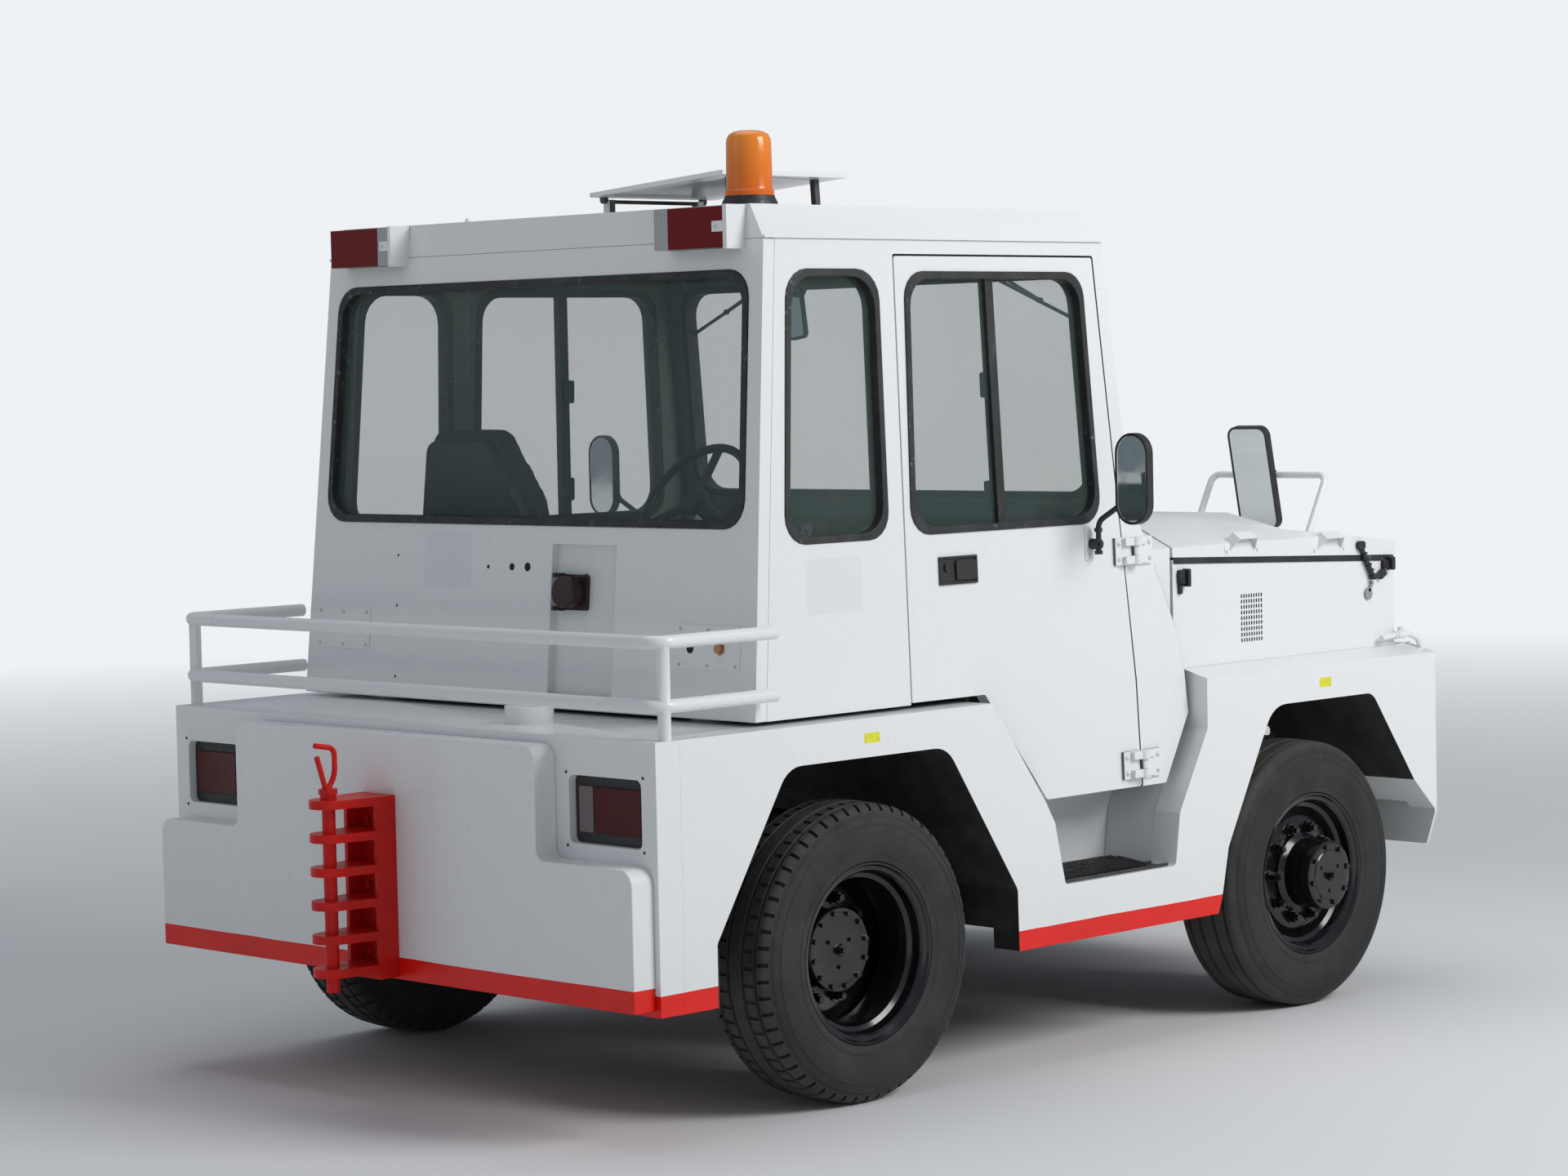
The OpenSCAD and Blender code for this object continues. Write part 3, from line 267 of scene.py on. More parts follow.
def fitted(name, bm, materials, body="chassis", edge=0.0, smooth=30, sharp=40, node=None):
    """A piece that rides on a body, and stands for a CAD node if one is named. A width, if given,
    is what is broken off its edges where they are sharper than an angle."""
    piece = built(name, bm, materials, smooth)
    if edge:
        broken = piece.modifiers.new("broken_edges", "BEVEL")
        broken.width, broken.segments = edge, 2
        broken.limit_method, broken.angle_limit = "ANGLE", math.radians(sharp)
    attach(piece, body)
    if node:
        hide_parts(node)
    return piece


def dressed(node, material, edge=0.002, smooth=32):
    """A copy of a CAD node, its doubles merged and its edges broken, that stands for the node."""
    bm = bmesh.new()
    bm.from_mesh(frame["nodes"][node].data)
    bmesh.ops.remove_doubles(bm, verts=bm.verts, dist=1e-5)
    bmesh.ops.dissolve_limit(bm, angle_limit=math.radians(0.6), verts=bm.verts, edges=bm.edges)
    piece = fitted(node + "_finished", bm, material, body_of[node], edge, smooth, smooth, node)
    if edge:
        piece.modifiers["broken_edges"].harden_normals = True
    return piece


BAND_TOP, PLATE_BAND_TOP = 0.416, 0.437
ARCHES = ((0.19, 1.47), (2.36, 3.57))  # stations between which the arch insides get painted shade
ARCH_TOP, SKIN = 1.0, 1.0615
white = body_paint("white_paint")
banded = body_paint("white_paint_red_band", BAND_TOP)
plate_paint = body_paint("white_plate_red_band", PLATE_BAND_TOP)
# The arch insides are white plate like the rest of the body; the near-black given to them is painted shade for the
# shadow under the body, with a faint brownish mottle.
ARCH_SHADE_BLACK = (0.016, 0.016, 0.017, 1)
arch_painted_shade = finish("arch_painted_shade", ARCH_SHADE_BLACK, 0.7)
tinted(arch_painted_shade, mottled(arch_painted_shade, (9, 6), (0.42, 0.72), ARCH_SHADE_BLACK, (0.12, 0.11, 0.095, 1), 0.35))
bumped(arch_painted_shade, noise(arch_painted_shade, 80, 5), 0.4, 0.0012)
# Faces inside the arches take the painted shade, all but the low front corner of the front arch, which is lit and
# stays white.
for node in ("side_left", "side_right", "rear_wall"):
    plate = dressed(node, banded, 0.001)
    plate.data.materials.append(arch_painted_shade)
    for face in plate.data.polygons:
        station, high = face.center.x + STATION, face.center.z
        inside = abs(face.center.y) < SKIN and high < ARCH_TOP
        front_skirt = station > 3.36 and high < 0.72
        if inside and not front_skirt and any(rear < station < front for rear, front in ARCHES):
            face.material_index = 1
dressed("rear_plate", plate_paint, 0.006)
dressed("deck", white, 0.002)
dressed("front_plate", white, 0.003)


# Frame, engine and axles
# Black painted steel under the body and a bare cast block under the bonnet, all dull with road
# dust. They are welded or bolted to the body and show only from below and through the arches.
def dull_metal(name, colour, dust):
    """Rough metal of a colour under an amount of road dust."""
    material = finish(name, colour, 0.6)
    tone = mottled(material, (9, 6), (0.42, 0.72), colour, GRIME, dust)
    tinted(material, tone)
    roughened(material, (20, 4), (0.3, 0.8), (0.45, 0.8))
    bumped(material, noise(material, 60, 5), 0.35, 0.001)
    return material


frame_black = dull_metal("frame_black", (0.022, 0.022, 0.023, 1), 0.35)
for node in ("chassis_frame", "rear_axle", "front_axle"):
    dressed(node, frame_black, 0.003)
for node in ("knuckle_left", "knuckle_right"):
    dressed(node, frame_black, 0.002)
dressed("engine_block", dull_metal("engine_iron", (0.11, 0.11, 0.115, 1), 0.3), 0.006)


# Wheels
# Steel truck rims in gloss black with a deep dish. The rear hubs end in a bolted cover far inside
# the dish; the front hubs are drums that stand out of it. Ten nuts hold each rim's disc.
HUB_HEIGHT, WHEEL_Y = 0.427, 0.937
NUT_CIRCLE = 0.148
NUT_LAYERS = ((0.003, 0.021, 0.006, 20), (0.015, 0.0165, 0.020, 6), (0.030, 0.010, 0.012, 12))  # washer, nut, stud
WHEELS = [  # name, station in the frame, side, steered, body
    ("rear_left", -0.877, 1, False, "wheel_rl"),
    ("rear_right", -0.877, -1, False, "wheel_rr"),
    ("front_left", 1.196, 1, True, "wheel_fl"),
    ("front_right", 1.196, -1, True, "wheel_fr"),
]


def lathe(bm, profile, steps=96, ring=True):
    """Spins a short profile of (radius, place along Y) round the Y axis."""
    points = [bm.verts.new((radius, along, 0)) for radius, along in profile]
    follow = points[1:] + points[:1] if ring else points[1:]
    lines = [bm.edges.new(pair) for pair in zip(points, follow)]
    bmesh.ops.spin(bm, geom=points + lines, cent=(0, 0, 0), axis=(0, 1, 0), angle=math.tau, steps=steps,
                   use_merge=True, dvec=(0, 0, 0))


def stud(bm, centre, radius, depth, sides=6, facing="Y", tip=None, turn=0.0):
    """A prism or cone standing along an axis, its middle at a point."""
    along = {"X": Matrix.Rotation(math.pi / 2, 4, "Y"), "Y": Matrix.Rotation(-math.pi / 2, 4, "X"),
             "Z": Matrix.Identity(4)}[facing]
    bmesh.ops.create_cone(bm, cap_ends=True, segments=sides, radius1=radius,
                          radius2=radius if tip is None else tip, depth=depth,
                          matrix=Matrix.Translation(centre) @ along @ Matrix.Rotation(turn, 4, "Z"))


def stud_circle(bm, count, circle, along, radius, depth, sides=6, start=0.0):
    """Studs standing along Y, evenly set round the Y axis."""
    for i in range(count):
        angle = start + math.tau * i / count
        stud(bm, (circle * math.cos(angle), along, circle * math.sin(angle)), radius, depth, sides, turn=angle)


def to_wheel(bm, station, side):
    """Carries a wheel part from the origin to its axle, turned to its side."""
    bmesh.ops.remove_doubles(bm, verts=bm.verts, dist=1e-5)
    bmesh.ops.transform(bm, verts=bm.verts, matrix=Matrix.Translation(
        (station, side * WHEEL_Y, HUB_HEIGHT)) @ Matrix.Scale(side, 4, (0, 1, 0)))
    bmesh.ops.recalc_face_normals(bm, faces=bm.faces)


RIM_BLACK = (0.006, 0.006, 0.007, 1)
rim_paint = finish("rim_black", RIM_BLACK, 0.22, coat=0.15)
dusty = times(rim_paint, ranged(rim_paint, noise(rim_paint, 11, 6), 0.5, 0.8),
              ranged(rim_paint, noise(rim_paint, 3, 2), 0.4, 0.7, 0.0, 0.16))
tinted(rim_paint, blended(rim_paint, dusty, RIM_BLACK, (0.07, 0.063, 0.056, 1)))
roughened(rim_paint, (15, 4), (0.35, 0.75), (0.12, 0.30))
bumped(rim_paint, noise(rim_paint, 70, 3), 0.15, 0.0008)
bright_metal = finish("bright_metal", (0.60, 0.60, 0.58, 1), 0.3, metallic=1.0)
roughened(bright_metal, (60, 4), (0.3, 0.7), (0.2, 0.5))

RIM = [(0.2405, 0.060), (0.2405, 0.094), (0.2585, 0.099), (0.2605, 0.104), (0.2605, 0.109), (0.2575, 0.112),
       (0.2520, 0.1105), (0.2470, 0.103), (0.2360, 0.099), (0.2310, 0.092), (0.2290, 0.075), (0.2250, 0.066),
       (0.2120, 0.058), (0.2080, 0.048), (0.2080, 0.002), (0.2060, -0.006), (0.2060, -0.040), (0.2200, -0.058),
       (0.2290, -0.075), (0.2350, -0.099), (0.2520, -0.1105), (0.2600, -0.111), (0.2605, -0.100), (0.2405, -0.094)]
REAR_DISC = [(0.090, -0.071), (0.176, -0.071), (0.192, -0.074), (0.210, -0.082), (0.2320, -0.086),
             (0.2320, -0.098), (0.206, -0.095), (0.188, -0.086), (0.174, -0.083), (0.090, -0.083)]
FRONT_DISC = [(0.090, 0.056), (0.166, 0.056), (0.182, 0.051), (0.198, 0.034), (0.2095, 0.029),
              (0.2095, 0.017), (0.194, 0.021), (0.176, 0.040), (0.162, 0.044), (0.090, 0.044)]
REAR_HUB = [(0, -0.0048), (0.020, -0.0048), (0.030, -0.0065), (0.104, -0.0065), (0.110, -0.0050),
            (0.1185, -0.0055), (0.1220, -0.009), (0.1220, -0.026), (0.1170, -0.031), (0.1170, -0.036),
            (0.1000, -0.044), (0.1000, -0.110), (0.0702, -0.110), (0.0702, -0.062), (0, -0.062)]
FRONT_HUB = [(0, 0.182), (0.078, 0.182), (0.082, 0.179), (0.100, 0.179), (0.1085, 0.177), (0.1100, 0.172),
             (0.1100, 0.082), (0.1200, 0.074), (0.1280, 0.070), (0.1280, 0.050), (0.0850, 0.048),
             (0.0850, 0.005), (0.0482, 0.005), (0.0482, 0.072), (0, 0.072)]
for name, station, side, steered, body in WHEELS:
    bm = bmesh.new()
    lathe(bm, RIM)
    lathe(bm, FRONT_DISC if steered else REAR_DISC)
    lathe(bm, FRONT_HUB if steered else REAR_HUB, ring=False)
    face = 0.056 if steered else -0.071
    for out, radius, depth, sides in NUT_LAYERS:
        stud_circle(bm, 10, NUT_CIRCLE, face + out, radius, depth, sides)
    cover = 0.179 if steered else -0.006
    stud_circle(bm, 8 if steered else 12, 0.092 if steered else 0.107, cover + 0.004, 0.0085, 0.010, start=0.2)
    stud_circle(bm, 3, 0.050, cover + 0.003, 0.006, 0.008, start=0.5)
    stud(bm, (0, cover + 0.008, 0), 0.018, 0.014)
    stud(bm, (0, cover + 0.018, 0), 0.010, 0.010, 16)
    to_wheel(bm, station, side)
    fitted("wheel_" + name + "_finished", bm, rim_paint, body, smooth=28, node="wheel_" + name)
    bm = bmesh.new()
    stem = 0.010 if steered else -0.040
    stud(bm, (-0.188, stem, -0.082), 0.0050, 0.070, 12)
    stud(bm, (-0.188, stem + 0.038, -0.082), 0.0062, 0.014, 10)
    to_wheel(bm, station, side)
    fitted("valve_" + name, bm, bright_metal, body)


# Tyres
# Part worn radial truck tyres. The rear ones have blocks at the shoulders and zigzag-cut ribs
# between four grooves; the front ones have plain ribs. Rubber is grey with dust at the tread.
def wheel_radius(material, station):
    """How far a point of a tyre lies from its axle."""
    centre = shade(material.node_tree, "ShaderNodeMapping", {
        "Vector": own_place(material), "Location": (-station, 0, -HUB_HEIGHT), "Scale": (1, 0, 1)})
    return shade(material.node_tree, "ShaderNodeVectorMath", {0: centre.outputs["Vector"]},
                 operation="LENGTH").outputs["Value"]


def tyre_rubber(name, station):
    """Grey rubber, dusty at the tread and at the bead of the tyre at a station."""
    rubber = (0.026, 0.0262, 0.0265, 1)
    material = finish(name, rubber, 0.72, specular=0.3)
    radius = wheel_radius(material, station)
    tone = mottled(material, (6, 6), (0.35, 0.7), rubber, (0.042, 0.041, 0.039, 1))
    worn = times(material, ranged(material, radius, 0.395, 0.424),
                 ranged(material, noise(material, 14, 5), 0.3, 0.65, 0.35, 0.9))
    tone = blended(material, worn, tone, (0.082, 0.077, 0.070, 1))
    bead = times(material, ranged(material, radius, 0.300, 0.272),
                 ranged(material, noise(material, 8, 4), 0.4, 0.7, 0.0, 0.4))
    tone = blended(material, bead, tone, (0.060, 0.055, 0.050, 1))
    tinted(material, tone)
    roughened(material, (18, 5), (0.3, 0.75), (0.6, 0.88))
    bumped(material, noise(material, 120, 6), 0.45, 0.0012)
    return material


SIDEWALL = [(0.2412, 0.060), (0.2412, 0.0935), (0.2610, 0.0985), (0.2610, 0.1115), (0.2660, 0.1135),
            (0.2720, 0.1140), (0.2760, 0.1165), (0.2800, 0.1165), (0.2820, 0.1185), (0.2860, 0.1188),
            (0.2875, 0.1175), (0.3020, 0.1210), (0.3180, 0.1240), (0.3350, 0.1255), (0.3500, 0.1252),
            (0.3640, 0.1235), (0.3655, 0.1250), (0.3690, 0.1245), (0.3705, 0.1225), (0.3800, 0.1195),
            (0.3880, 0.1165), (0.3895, 0.1175), (0.3925, 0.1165), (0.3940, 0.1145), (0.4040, 0.1100),
            (0.4130, 0.1045), (0.4185, 0.0980), (0.4225, 0.0925)]
GROOVES = [0.0735, 0.0275]
BLOCK_STEPS = 4  # one cut in four steps round a rear tyre


def crown(along):
    """The tread's radius, a little lower at its shoulders."""
    return 0.4270 - 0.0045 * (along / 0.0925) ** 2


def tread_half():
    """One half of the tread, from its shoulder to its middle, with its grooves."""
    points = []
    for groove in GROOVES:
        for step, drop in ((0.0060, 0), (0.0035, 0.011), (-0.0035, 0.011), (-0.0060, 0)):
            points.append((crown(groove + step) - drop, groove + step))
        points.append((crown(groove - 0.020), groove - 0.020))
    return points


outer = SIDEWALL + tread_half()
TYRE = outer + [(radius, -along) for radius, along in reversed(outer)]
for name, station, side, steered, body in WHEELS:
    steps = 192 if steered else 224
    bm = bmesh.new()
    lathe(bm, TYRE, steps)
    bmesh.ops.remove_doubles(bm, verts=bm.verts, dist=1e-5)
    shoulder, ribs = [], []
    for face in () if steered else bm.faces:  # the front tyres have plain ribs
        centre = face.calc_center_median()
        along, radius = abs(centre.y), math.hypot(centre.x, centre.z)
        step = int((math.atan2(centre.z, centre.x) % math.tau) / math.tau * steps)
        if radius > 0.405 and along > 0.0796 and (step + (2 if centre.y > 0 else 0)) % BLOCK_STEPS == 0:
            shoulder.append(face)
        if radius > 0.4235 and 0.030 < along < 0.071 and (step + (1 if centre.y > 0 else 3)) % BLOCK_STEPS == 0:
            ribs.append(face)
    for faces, shrink in ((shoulder, 0.970), (ribs, 0.986)):
        if faces:
            cut = bmesh.ops.extrude_face_region(bm, geom=faces)
            bmesh.ops.delete(bm, geom=[f for f in faces if f.is_valid], context="FACES_ONLY")
            bottom = [v for v in cut["geom"] if isinstance(v, bmesh.types.BMVert)]
            bmesh.ops.scale(bm, vec=(shrink, 1, shrink), verts=bottom)
    to_wheel(bm, station, side)
    fitted("tyre_" + name + "_finished", bm, tyre_rubber("tyre_rubber_" + name, station), body,
           smooth=35, node="tyre_" + name)


# Cab and roof
# Folded and welded steel sheet over a frame, gloss white outside and lined with dark grey trim
# inside. The rear wall has a shallow recess low on its right half, with a lead socket in it.
TRIM_GREY = (0.125, 0.135, 0.130, 1)
trim = finish("cab_trim", TRIM_GREY, 0.75)
tinted(trim, mottled(trim, (24, 5), (0.35, 0.7), TRIM_GREY, (0.160, 0.170, 0.164, 1)))
bumped(trim, noise(trim, 220, 4), 0.3, 0.0008)
CAB_CENTRE = Vector((-0.5, 0, 1.75))
HATCH_SHEET = 2.6175  # above this the hatch is white, below it black


def lined(piece):
    """Trim on the faces that look into the cab."""
    piece.data.materials.append(trim)
    for face in piece.data.polygons:
        if face.normal.dot((CAB_CENTRE - face.center).normalized()) > 0.3:
            face.material_index = 1


for node in ("cab_rear_wall", "cab_side_left", "cab_side_right", "cab_front", "roof", "door_left", "door_right"):
    lined(dressed(node, white, 0.007 if node == "roof" else 0.003))
hatch = dressed("roof_hatch", [white, frame_black], 0.002)
for face in hatch.data.polygons:
    if face.center.z < HATCH_SHEET:
        face.material_index = 1
dressed("bonnet_sides", white, 0.004)
dressed("bonnet_lid", white, 0.005)
dressed("mirror_hoop", white, 0)
dressed("rail", white, 0)
dressed("cab_floor", dull_metal("floor_grey", (0.085, 0.088, 0.09, 1), 0.25), 0.002)


# Windows
# Clear safety glass with a faint green tint, held in broad black rubber sections. The doors have
# a sliding rear pane behind an upright black bar.
SEAL_BLACK = (0.014, 0.014, 0.015, 1)
rubber = finish("seal_rubber", SEAL_BLACK, 0.55)
tone = mottled(rubber, (12, 5), (0.45, 0.75), SEAL_BLACK, (0.034, 0.034, 0.034, 1))
scuffed = times(rubber, ranged(rubber, noise(rubber, 55, 6), 0.60, 0.66),
                ranged(rubber, noise(rubber, 4, 3), 0.50, 0.65, 0.0, 0.55))
tinted(rubber, blended(rubber, scuffed, tone, (0.22, 0.24, 0.27, 1)))
roughened(rubber, (30, 4), (0.3, 0.8), (0.4, 0.7))
GREEN_TINT = (0.10, 0.16, 0.14, 1)
glass = finish("cab_glass", GREEN_TINT, 0.03, specular=0.9, alpha=0.20)
roughened(glass, (3, 3), (0.3, 0.8), (0.015, 0.06))
tinted(glass, mottled(glass, (2, 2), (0.3, 0.8), GREEN_TINT, (0.14, 0.20, 0.18, 1)))
for node in ("cab_glass", "door_glass_left", "door_glass_right"):
    dressed(node, glass, 0.001)
for node in ("window_seals", "door_frame_left", "door_frame_right"):
    dressed(node, rubber, 0.003)


# Tow coupling
# A bolted channel with six thick ears in line and a loose drop pin, sprayed gloss red and chipped
# bare where tow bars and the pin rub. The pin's handle is bent from round bar.
red = finish("coupling_red", RED, 0.36, specular=0.25)
worn = times(red, ranged(red, noise(red, 26, 6), 0.60, 0.68), ranged(red, noise(red, 5, 3), 0.5, 0.7, 0.0, 0.8))
tone = mottled(red, (6, 4), (0.35, 0.7), (0.70, 0.011, 0.006, 1), (0.54, 0.011, 0.008, 1))
tinted(red, blended(red, worn, tone, (0.16, 0.07, 0.05, 1)))
roughened(red, (18, 5), (0.35, 0.75), (0.30, 0.5))
bumped(red, noise(red, 70, 4), 0.25, 0.001)
dressed("rear_coupling", red, 0.003)
dressed("coupling_pin", red, 0.002)
dressed("front_coupling", red, 0.003)


# Lamps
# Tail lamps in moulded black housings, and a pair of older square lamps on white brackets at the
# roof's rear edge. Lenses are clear or deep red plastic over ribbed reflectors.
def fx(station):
    """A station counted from the body's rear face, as a place in the frame."""
    return station - STATION


def brick(bm, low, high):
    """A box between two opposite corners."""
    middle = [(a + b) / 2 for a, b in zip(low, high)]
    size = [b - a for a, b in zip(low, high)]
    bmesh.ops.create_cube(bm, size=1, matrix=Matrix.Translation(middle) @ Matrix.Diagonal((*size, 1)))


def rounded_rect(width, height, radius, steps=5):
    """The outline of a rectangle with rounded corners, round the origin."""
    points = []
    for i, (sx, sy) in enumerate(((1, 1), (-1, 1), (-1, -1), (1, -1))):
        for j in range(steps + 1):
            angle = math.pi / 2 * (i + j / steps)
            points.append((sx * (width / 2 - radius) + radius * math.cos(angle),
                           sy * (height / 2 - radius) + radius * math.sin(angle)))
    return points


def prism(bm, outline, place, depth):
    """A flat outline in a place's own plane, drawn out along that place's Z."""
    ring = [bm.verts.new(place @ Vector((x, y, 0))) for x, y in outline]
    face = bm.faces.new(ring)
    grown = bmesh.ops.extrude_face_region(bm, geom=[face])
    moved = [v for v in grown["geom"] if isinstance(v, bmesh.types.BMVert)]
    bmesh.ops.translate(bm, verts=moved, vec=place.to_3x3() @ Vector((0, 0, depth)))
    bmesh.ops.recalc_face_normals(bm, faces=bm.faces)


def block(bm, outline, place, depth):
    """A rectangle of a width, height and corner radius, standing along a place's Z."""
    prism(bm, rounded_rect(*outline), place, depth)


def coloured(bm, before, index):
    """Gives the faces that weren't there before a material of their own."""
    for face in bm.faces:
        if face not in before:
            face.material_index = index


def lens(name, colour):
    """A moulded plastic lens with upright flutes, darker between them."""
    material = finish(name, colour, 0.12, specular=0.22)
    flutes = shade(material.node_tree, "ShaderNodeTexWave", {"Scale": 55, "Vector": own_place(material)},
                   wave_type="BANDS", bands_direction="Y").outputs["Fac"]
    deep = (*(part * 0.55 for part in colour[:3]), 1)
    tone = blended(material, ranged(material, flutes, 0.2, 0.8), deep, colour)
    tinted(material, tone)
    bumped(material, flutes, 0.5, 0.0012)
    return material


lens_red = lens("lens_red", (0.20, 0.004, 0.004, 1))
lens_deep = lens("lens_deep", (0.09, 0.002, 0.002, 1))
lens_smoky = lens("lens_smoky", (0.24, 0.19, 0.20, 1))
lens_clear = lens("lens_clear", (0.52, 0.54, 0.54, 1))
black_plastic = finish("black_plastic", (0.018, 0.018, 0.019, 1), 0.5)
roughened(black_plastic, (40, 4), (0.3, 0.8), (0.35, 0.65))
bumped(black_plastic, noise(black_plastic, 260, 3), 0.25, 0.0006)
TO_REAR = Matrix.Rotation(-math.pi / 2, 4, "Y") @ Matrix.Rotation(math.pi / 2, 4, "Z")
LAMP_PAINTS = [lens_red, lens_clear, white, black_plastic, bright_metal, lens_deep, lens_smoky]
RED_LENS, CLEAR_LENS, WHITE_BRACKET, BLACK_CASE, SCREW, DEEP_LENS, SMOKY_LENS = range(7)
TAIL_Y, TAIL_Z = 0.8605, 0.8975
TAIL_BLOCKS = [  # station, place across from the lamp's middle, outline, depth, paint
    (0.0585, 0, (0.2855, 0.1855, 0.019), 0.034, BLACK_CASE),
    (0.0255, 0.0295, (0.186, 0.126, 0.006), 0.008, DEEP_LENS),
    (0.0255, -0.0945, (0.056, 0.126, 0.006), 0.008, SMOKY_LENS),
]
ROOF_BLOCKS = [  # paint, two stations, two heights
    (RED_LENS, 0.493, 0.524, 2.418, 2.533),
    (CLEAR_LENS, 0.493, 0.524, 2.418, 2.533),
    (BLACK_CASE, 0.524, 0.566, 2.418, 2.533),
    (WHITE_BRACKET, 0.488, 0.566, 2.414, 2.537),
    (WHITE_BRACKET, 0.4885, 0.4915, 2.462, 2.492),
]
ROOF_ACROSS = {  # the ends of those blocks across the tractor, and the place of the tab's screw
    -1: ([(-0.862, -0.640), (-0.640, -0.584), (-0.866, -0.584), (-0.880, -0.864), (-0.866, -0.820)], -0.836),
    1: ([(0.640, 0.866), (0.588, 0.640), (0.584, 0.866), (0.573, 0.587), (0.585, 0.627)], 0.613),
}

bm = bmesh.new()
for side in (-1, 1):
    for x, across, outline, depth, paint in TAIL_BLOCKS:
        start = set(bm.faces)
        place = Matrix.Translation((fx(x), side * (TAIL_Y + across), TAIL_Z)) @ TO_REAR
        block(bm, outline, place, depth)
        coloured(bm, start, paint)
    start = set(bm.faces)
    for y in (-0.152, 0.152):
        for z in (-0.100, 0.100):
            stud(bm, (fx(-0.0005), side * TAIL_Y + y, TAIL_Z + z), 0.0045, 0.003, 10, "X")
    coloured(bm, start, BLACK_CASE)
    spans, screw_y = ROOF_ACROSS[side]
    for (paint, rear, front, foot, head), (low, high) in zip(ROOF_BLOCKS, spans):
        start = set(bm.faces)
        brick(bm, (fx(rear), low, foot), (fx(front), high, head))
        coloured(bm, start, paint)
    start = set(bm.faces)
    stud(bm, (fx(0.4875), screw_y, 2.477), 0.004, 0.004, 8, "X")
    coloured(bm, start, SCREW)
fitted("rear_lamps_finished", bm, LAMP_PAINTS, edge=0.0018, sharp=35, node="rear_lamps")

HEADLAMP_X, HEADLAMP_Y, HEADLAMP_Z = fx(3.573), 0.780, 0.820
bm = bmesh.new()
for side in (-1, 1):
    start = set(bm.faces)
    stud(bm, (HEADLAMP_X + 0.014, side * HEADLAMP_Y, HEADLAMP_Z), 0.092, 0.028, 48, "X")
    coloured(bm, start, 1)
    stud(bm, (HEADLAMP_X + 0.033, side * HEADLAMP_Y, HEADLAMP_Z), 0.082, 0.014, 48, "X", 0.070)
fitted("headlamps_finished", bm, [lens_clear, black_plastic], node="headlamps")


# Beacon
# A flashing lamp on the roof's right rear corner: a black rubber foot and a moulded amber cap
# with a ribbed skirt, over a bright reflector.
def turned(bm, profile, centre, steps=64):
    """Spins a profile of (radius, height) round an upright line."""
    before = set(bm.verts)
    points = [bm.verts.new((radius, 0, high)) for radius, high in profile]
    lines = [bm.edges.new(pair) for pair in zip(points, points[1:])]
    bmesh.ops.spin(bm, geom=points + lines, cent=(0, 0, 0), axis=(0, 0, 1), angle=math.tau, steps=steps,
                   use_merge=True, dvec=(0, 0, 0))
    made = [v for v in bm.verts if v not in before]
    bmesh.ops.remove_doubles(bm, verts=made, dist=1e-5)
    made = [v for v in bm.verts if v not in before]
    bmesh.ops.translate(bm, verts=made, vec=centre)
    bmesh.ops.recalc_face_normals(bm, faces=bm.faces)


BEACON = (fx(0.720), -0.741, 2.539)
amber = finish("beacon_amber", (0.90, 0.22, 0.008, 1), 0.16, coat=0.3, alpha=0.90)
upper = ranged(amber, height_of(amber), 2.57, 2.75)
tinted(amber, blended(amber, upper, (0.80, 0.15, 0.004, 1), (0.95, 0.28, 0.010, 1)))
bumped(amber, noise(amber, 45, 2, (1, 1, 0.1)), 0.35, 0.0015)
bm = bmesh.new()
turned(bm, [(0, 0), (0.0815, 0), (0.0815, 0.004), (0.076, 0.018), (0.0715, 0.026), (0.0715, 0.030), (0, 0.030)],
       BEACON)
fitted("beacon_base_finished", bm, rubber, node="beacon_base")
bm = bmesh.new()
turned(bm, [(0, 0.0302), (0.070, 0.0302), (0.070, 0.044), (0.0665, 0.047), (0.0655, 0.053), (0.0650, 0.110),
            (0.0640, 0.180), (0.0620, 0.192), (0.0560, 0.203), (0.0440, 0.210), (0.0280, 0.2135), (0, 0.2145)],
       BEACON)
fitted("beacon_lens_finished", bm, amber, smooth=40, node="beacon_lens")
bm = bmesh.new()
turned(bm, [(0, 0.070), (0.020, 0.070), (0.050, 0.100), (0.055, 0.150), (0.052, 0.152), (0.018, 0.078), (0, 0.078)],
       BEACON, 32)
turned(bm, [(0, 0.080), (0.012, 0.082), (0.014, 0.130), (0, 0.138)], BEACON, 20)
fitted("beacon_reflector", bm, bright_metal, smooth=40)


# Rear wall fittings
# Blanking plates held by six screws each, a hinged lead socket in the recess, small bolt holes
# and blank white labels. The right plate carries a brass gland beside an open hole.
brass = finish("brass", (0.52, 0.27, 0.15, 1), 0.35, metallic=1.0)
roughened(brass, (90, 4), (0.3, 0.7), (0.25, 0.5))
# A flat near-black for holes and punched slots: painted shade for the dark inside each opening.
dark = finish("hole_shade_black", (0.006, 0.006, 0.007, 1), 0.8)
roughened(dark, (40, 3), (0.3, 0.7), (0.7, 0.9))
OXIDE_RED, LABEL_YELLOW = (0.035, 0.012, 0.012, 1), (0.80, 0.78, 0.02, 1)
oxide = finish("socket_oxide", OXIDE_RED, 0.5)
tinted(oxide, mottled(oxide, (60, 5), (0.4, 0.7), OXIDE_RED, (0.012, 0.012, 0.013, 1)))
label_white = finish("label_white", (0.74, 0.75, 0.76, 1), 0.4)
roughened(label_white, (50, 3), (0.3, 0.7), (0.33, 0.5))
label_yellow = finish("label_yellow", LABEL_YELLOW, 0.45)
tinted(label_yellow, mottled(label_yellow, (80, 4), (0.4, 0.7), LABEL_YELLOW, (0.62, 0.60, 0.04, 1)))


CAB_FOOT, CAB_RISE = 1.108, 1.334
REAR_LEAN, SIDE_LEAN = 0.114 / CAB_RISE, 0.0425 / CAB_RISE


def shifted(place, x=0.0, y=0.0, z=0.0, turn=0.0):
    """A place moved along its own axes and turned about its own Z by degrees."""
    return place @ Matrix.Translation((x, y, z)) @ Matrix.Rotation(math.radians(turn), 4, "Z")


def outward(x, y, z, side=-1):
    """A place with its Z standing straight out to one side of the tractor."""
    return Matrix.Translation((x, y, z)) @ Matrix.Rotation(-side * math.pi / 2, 4, "X")


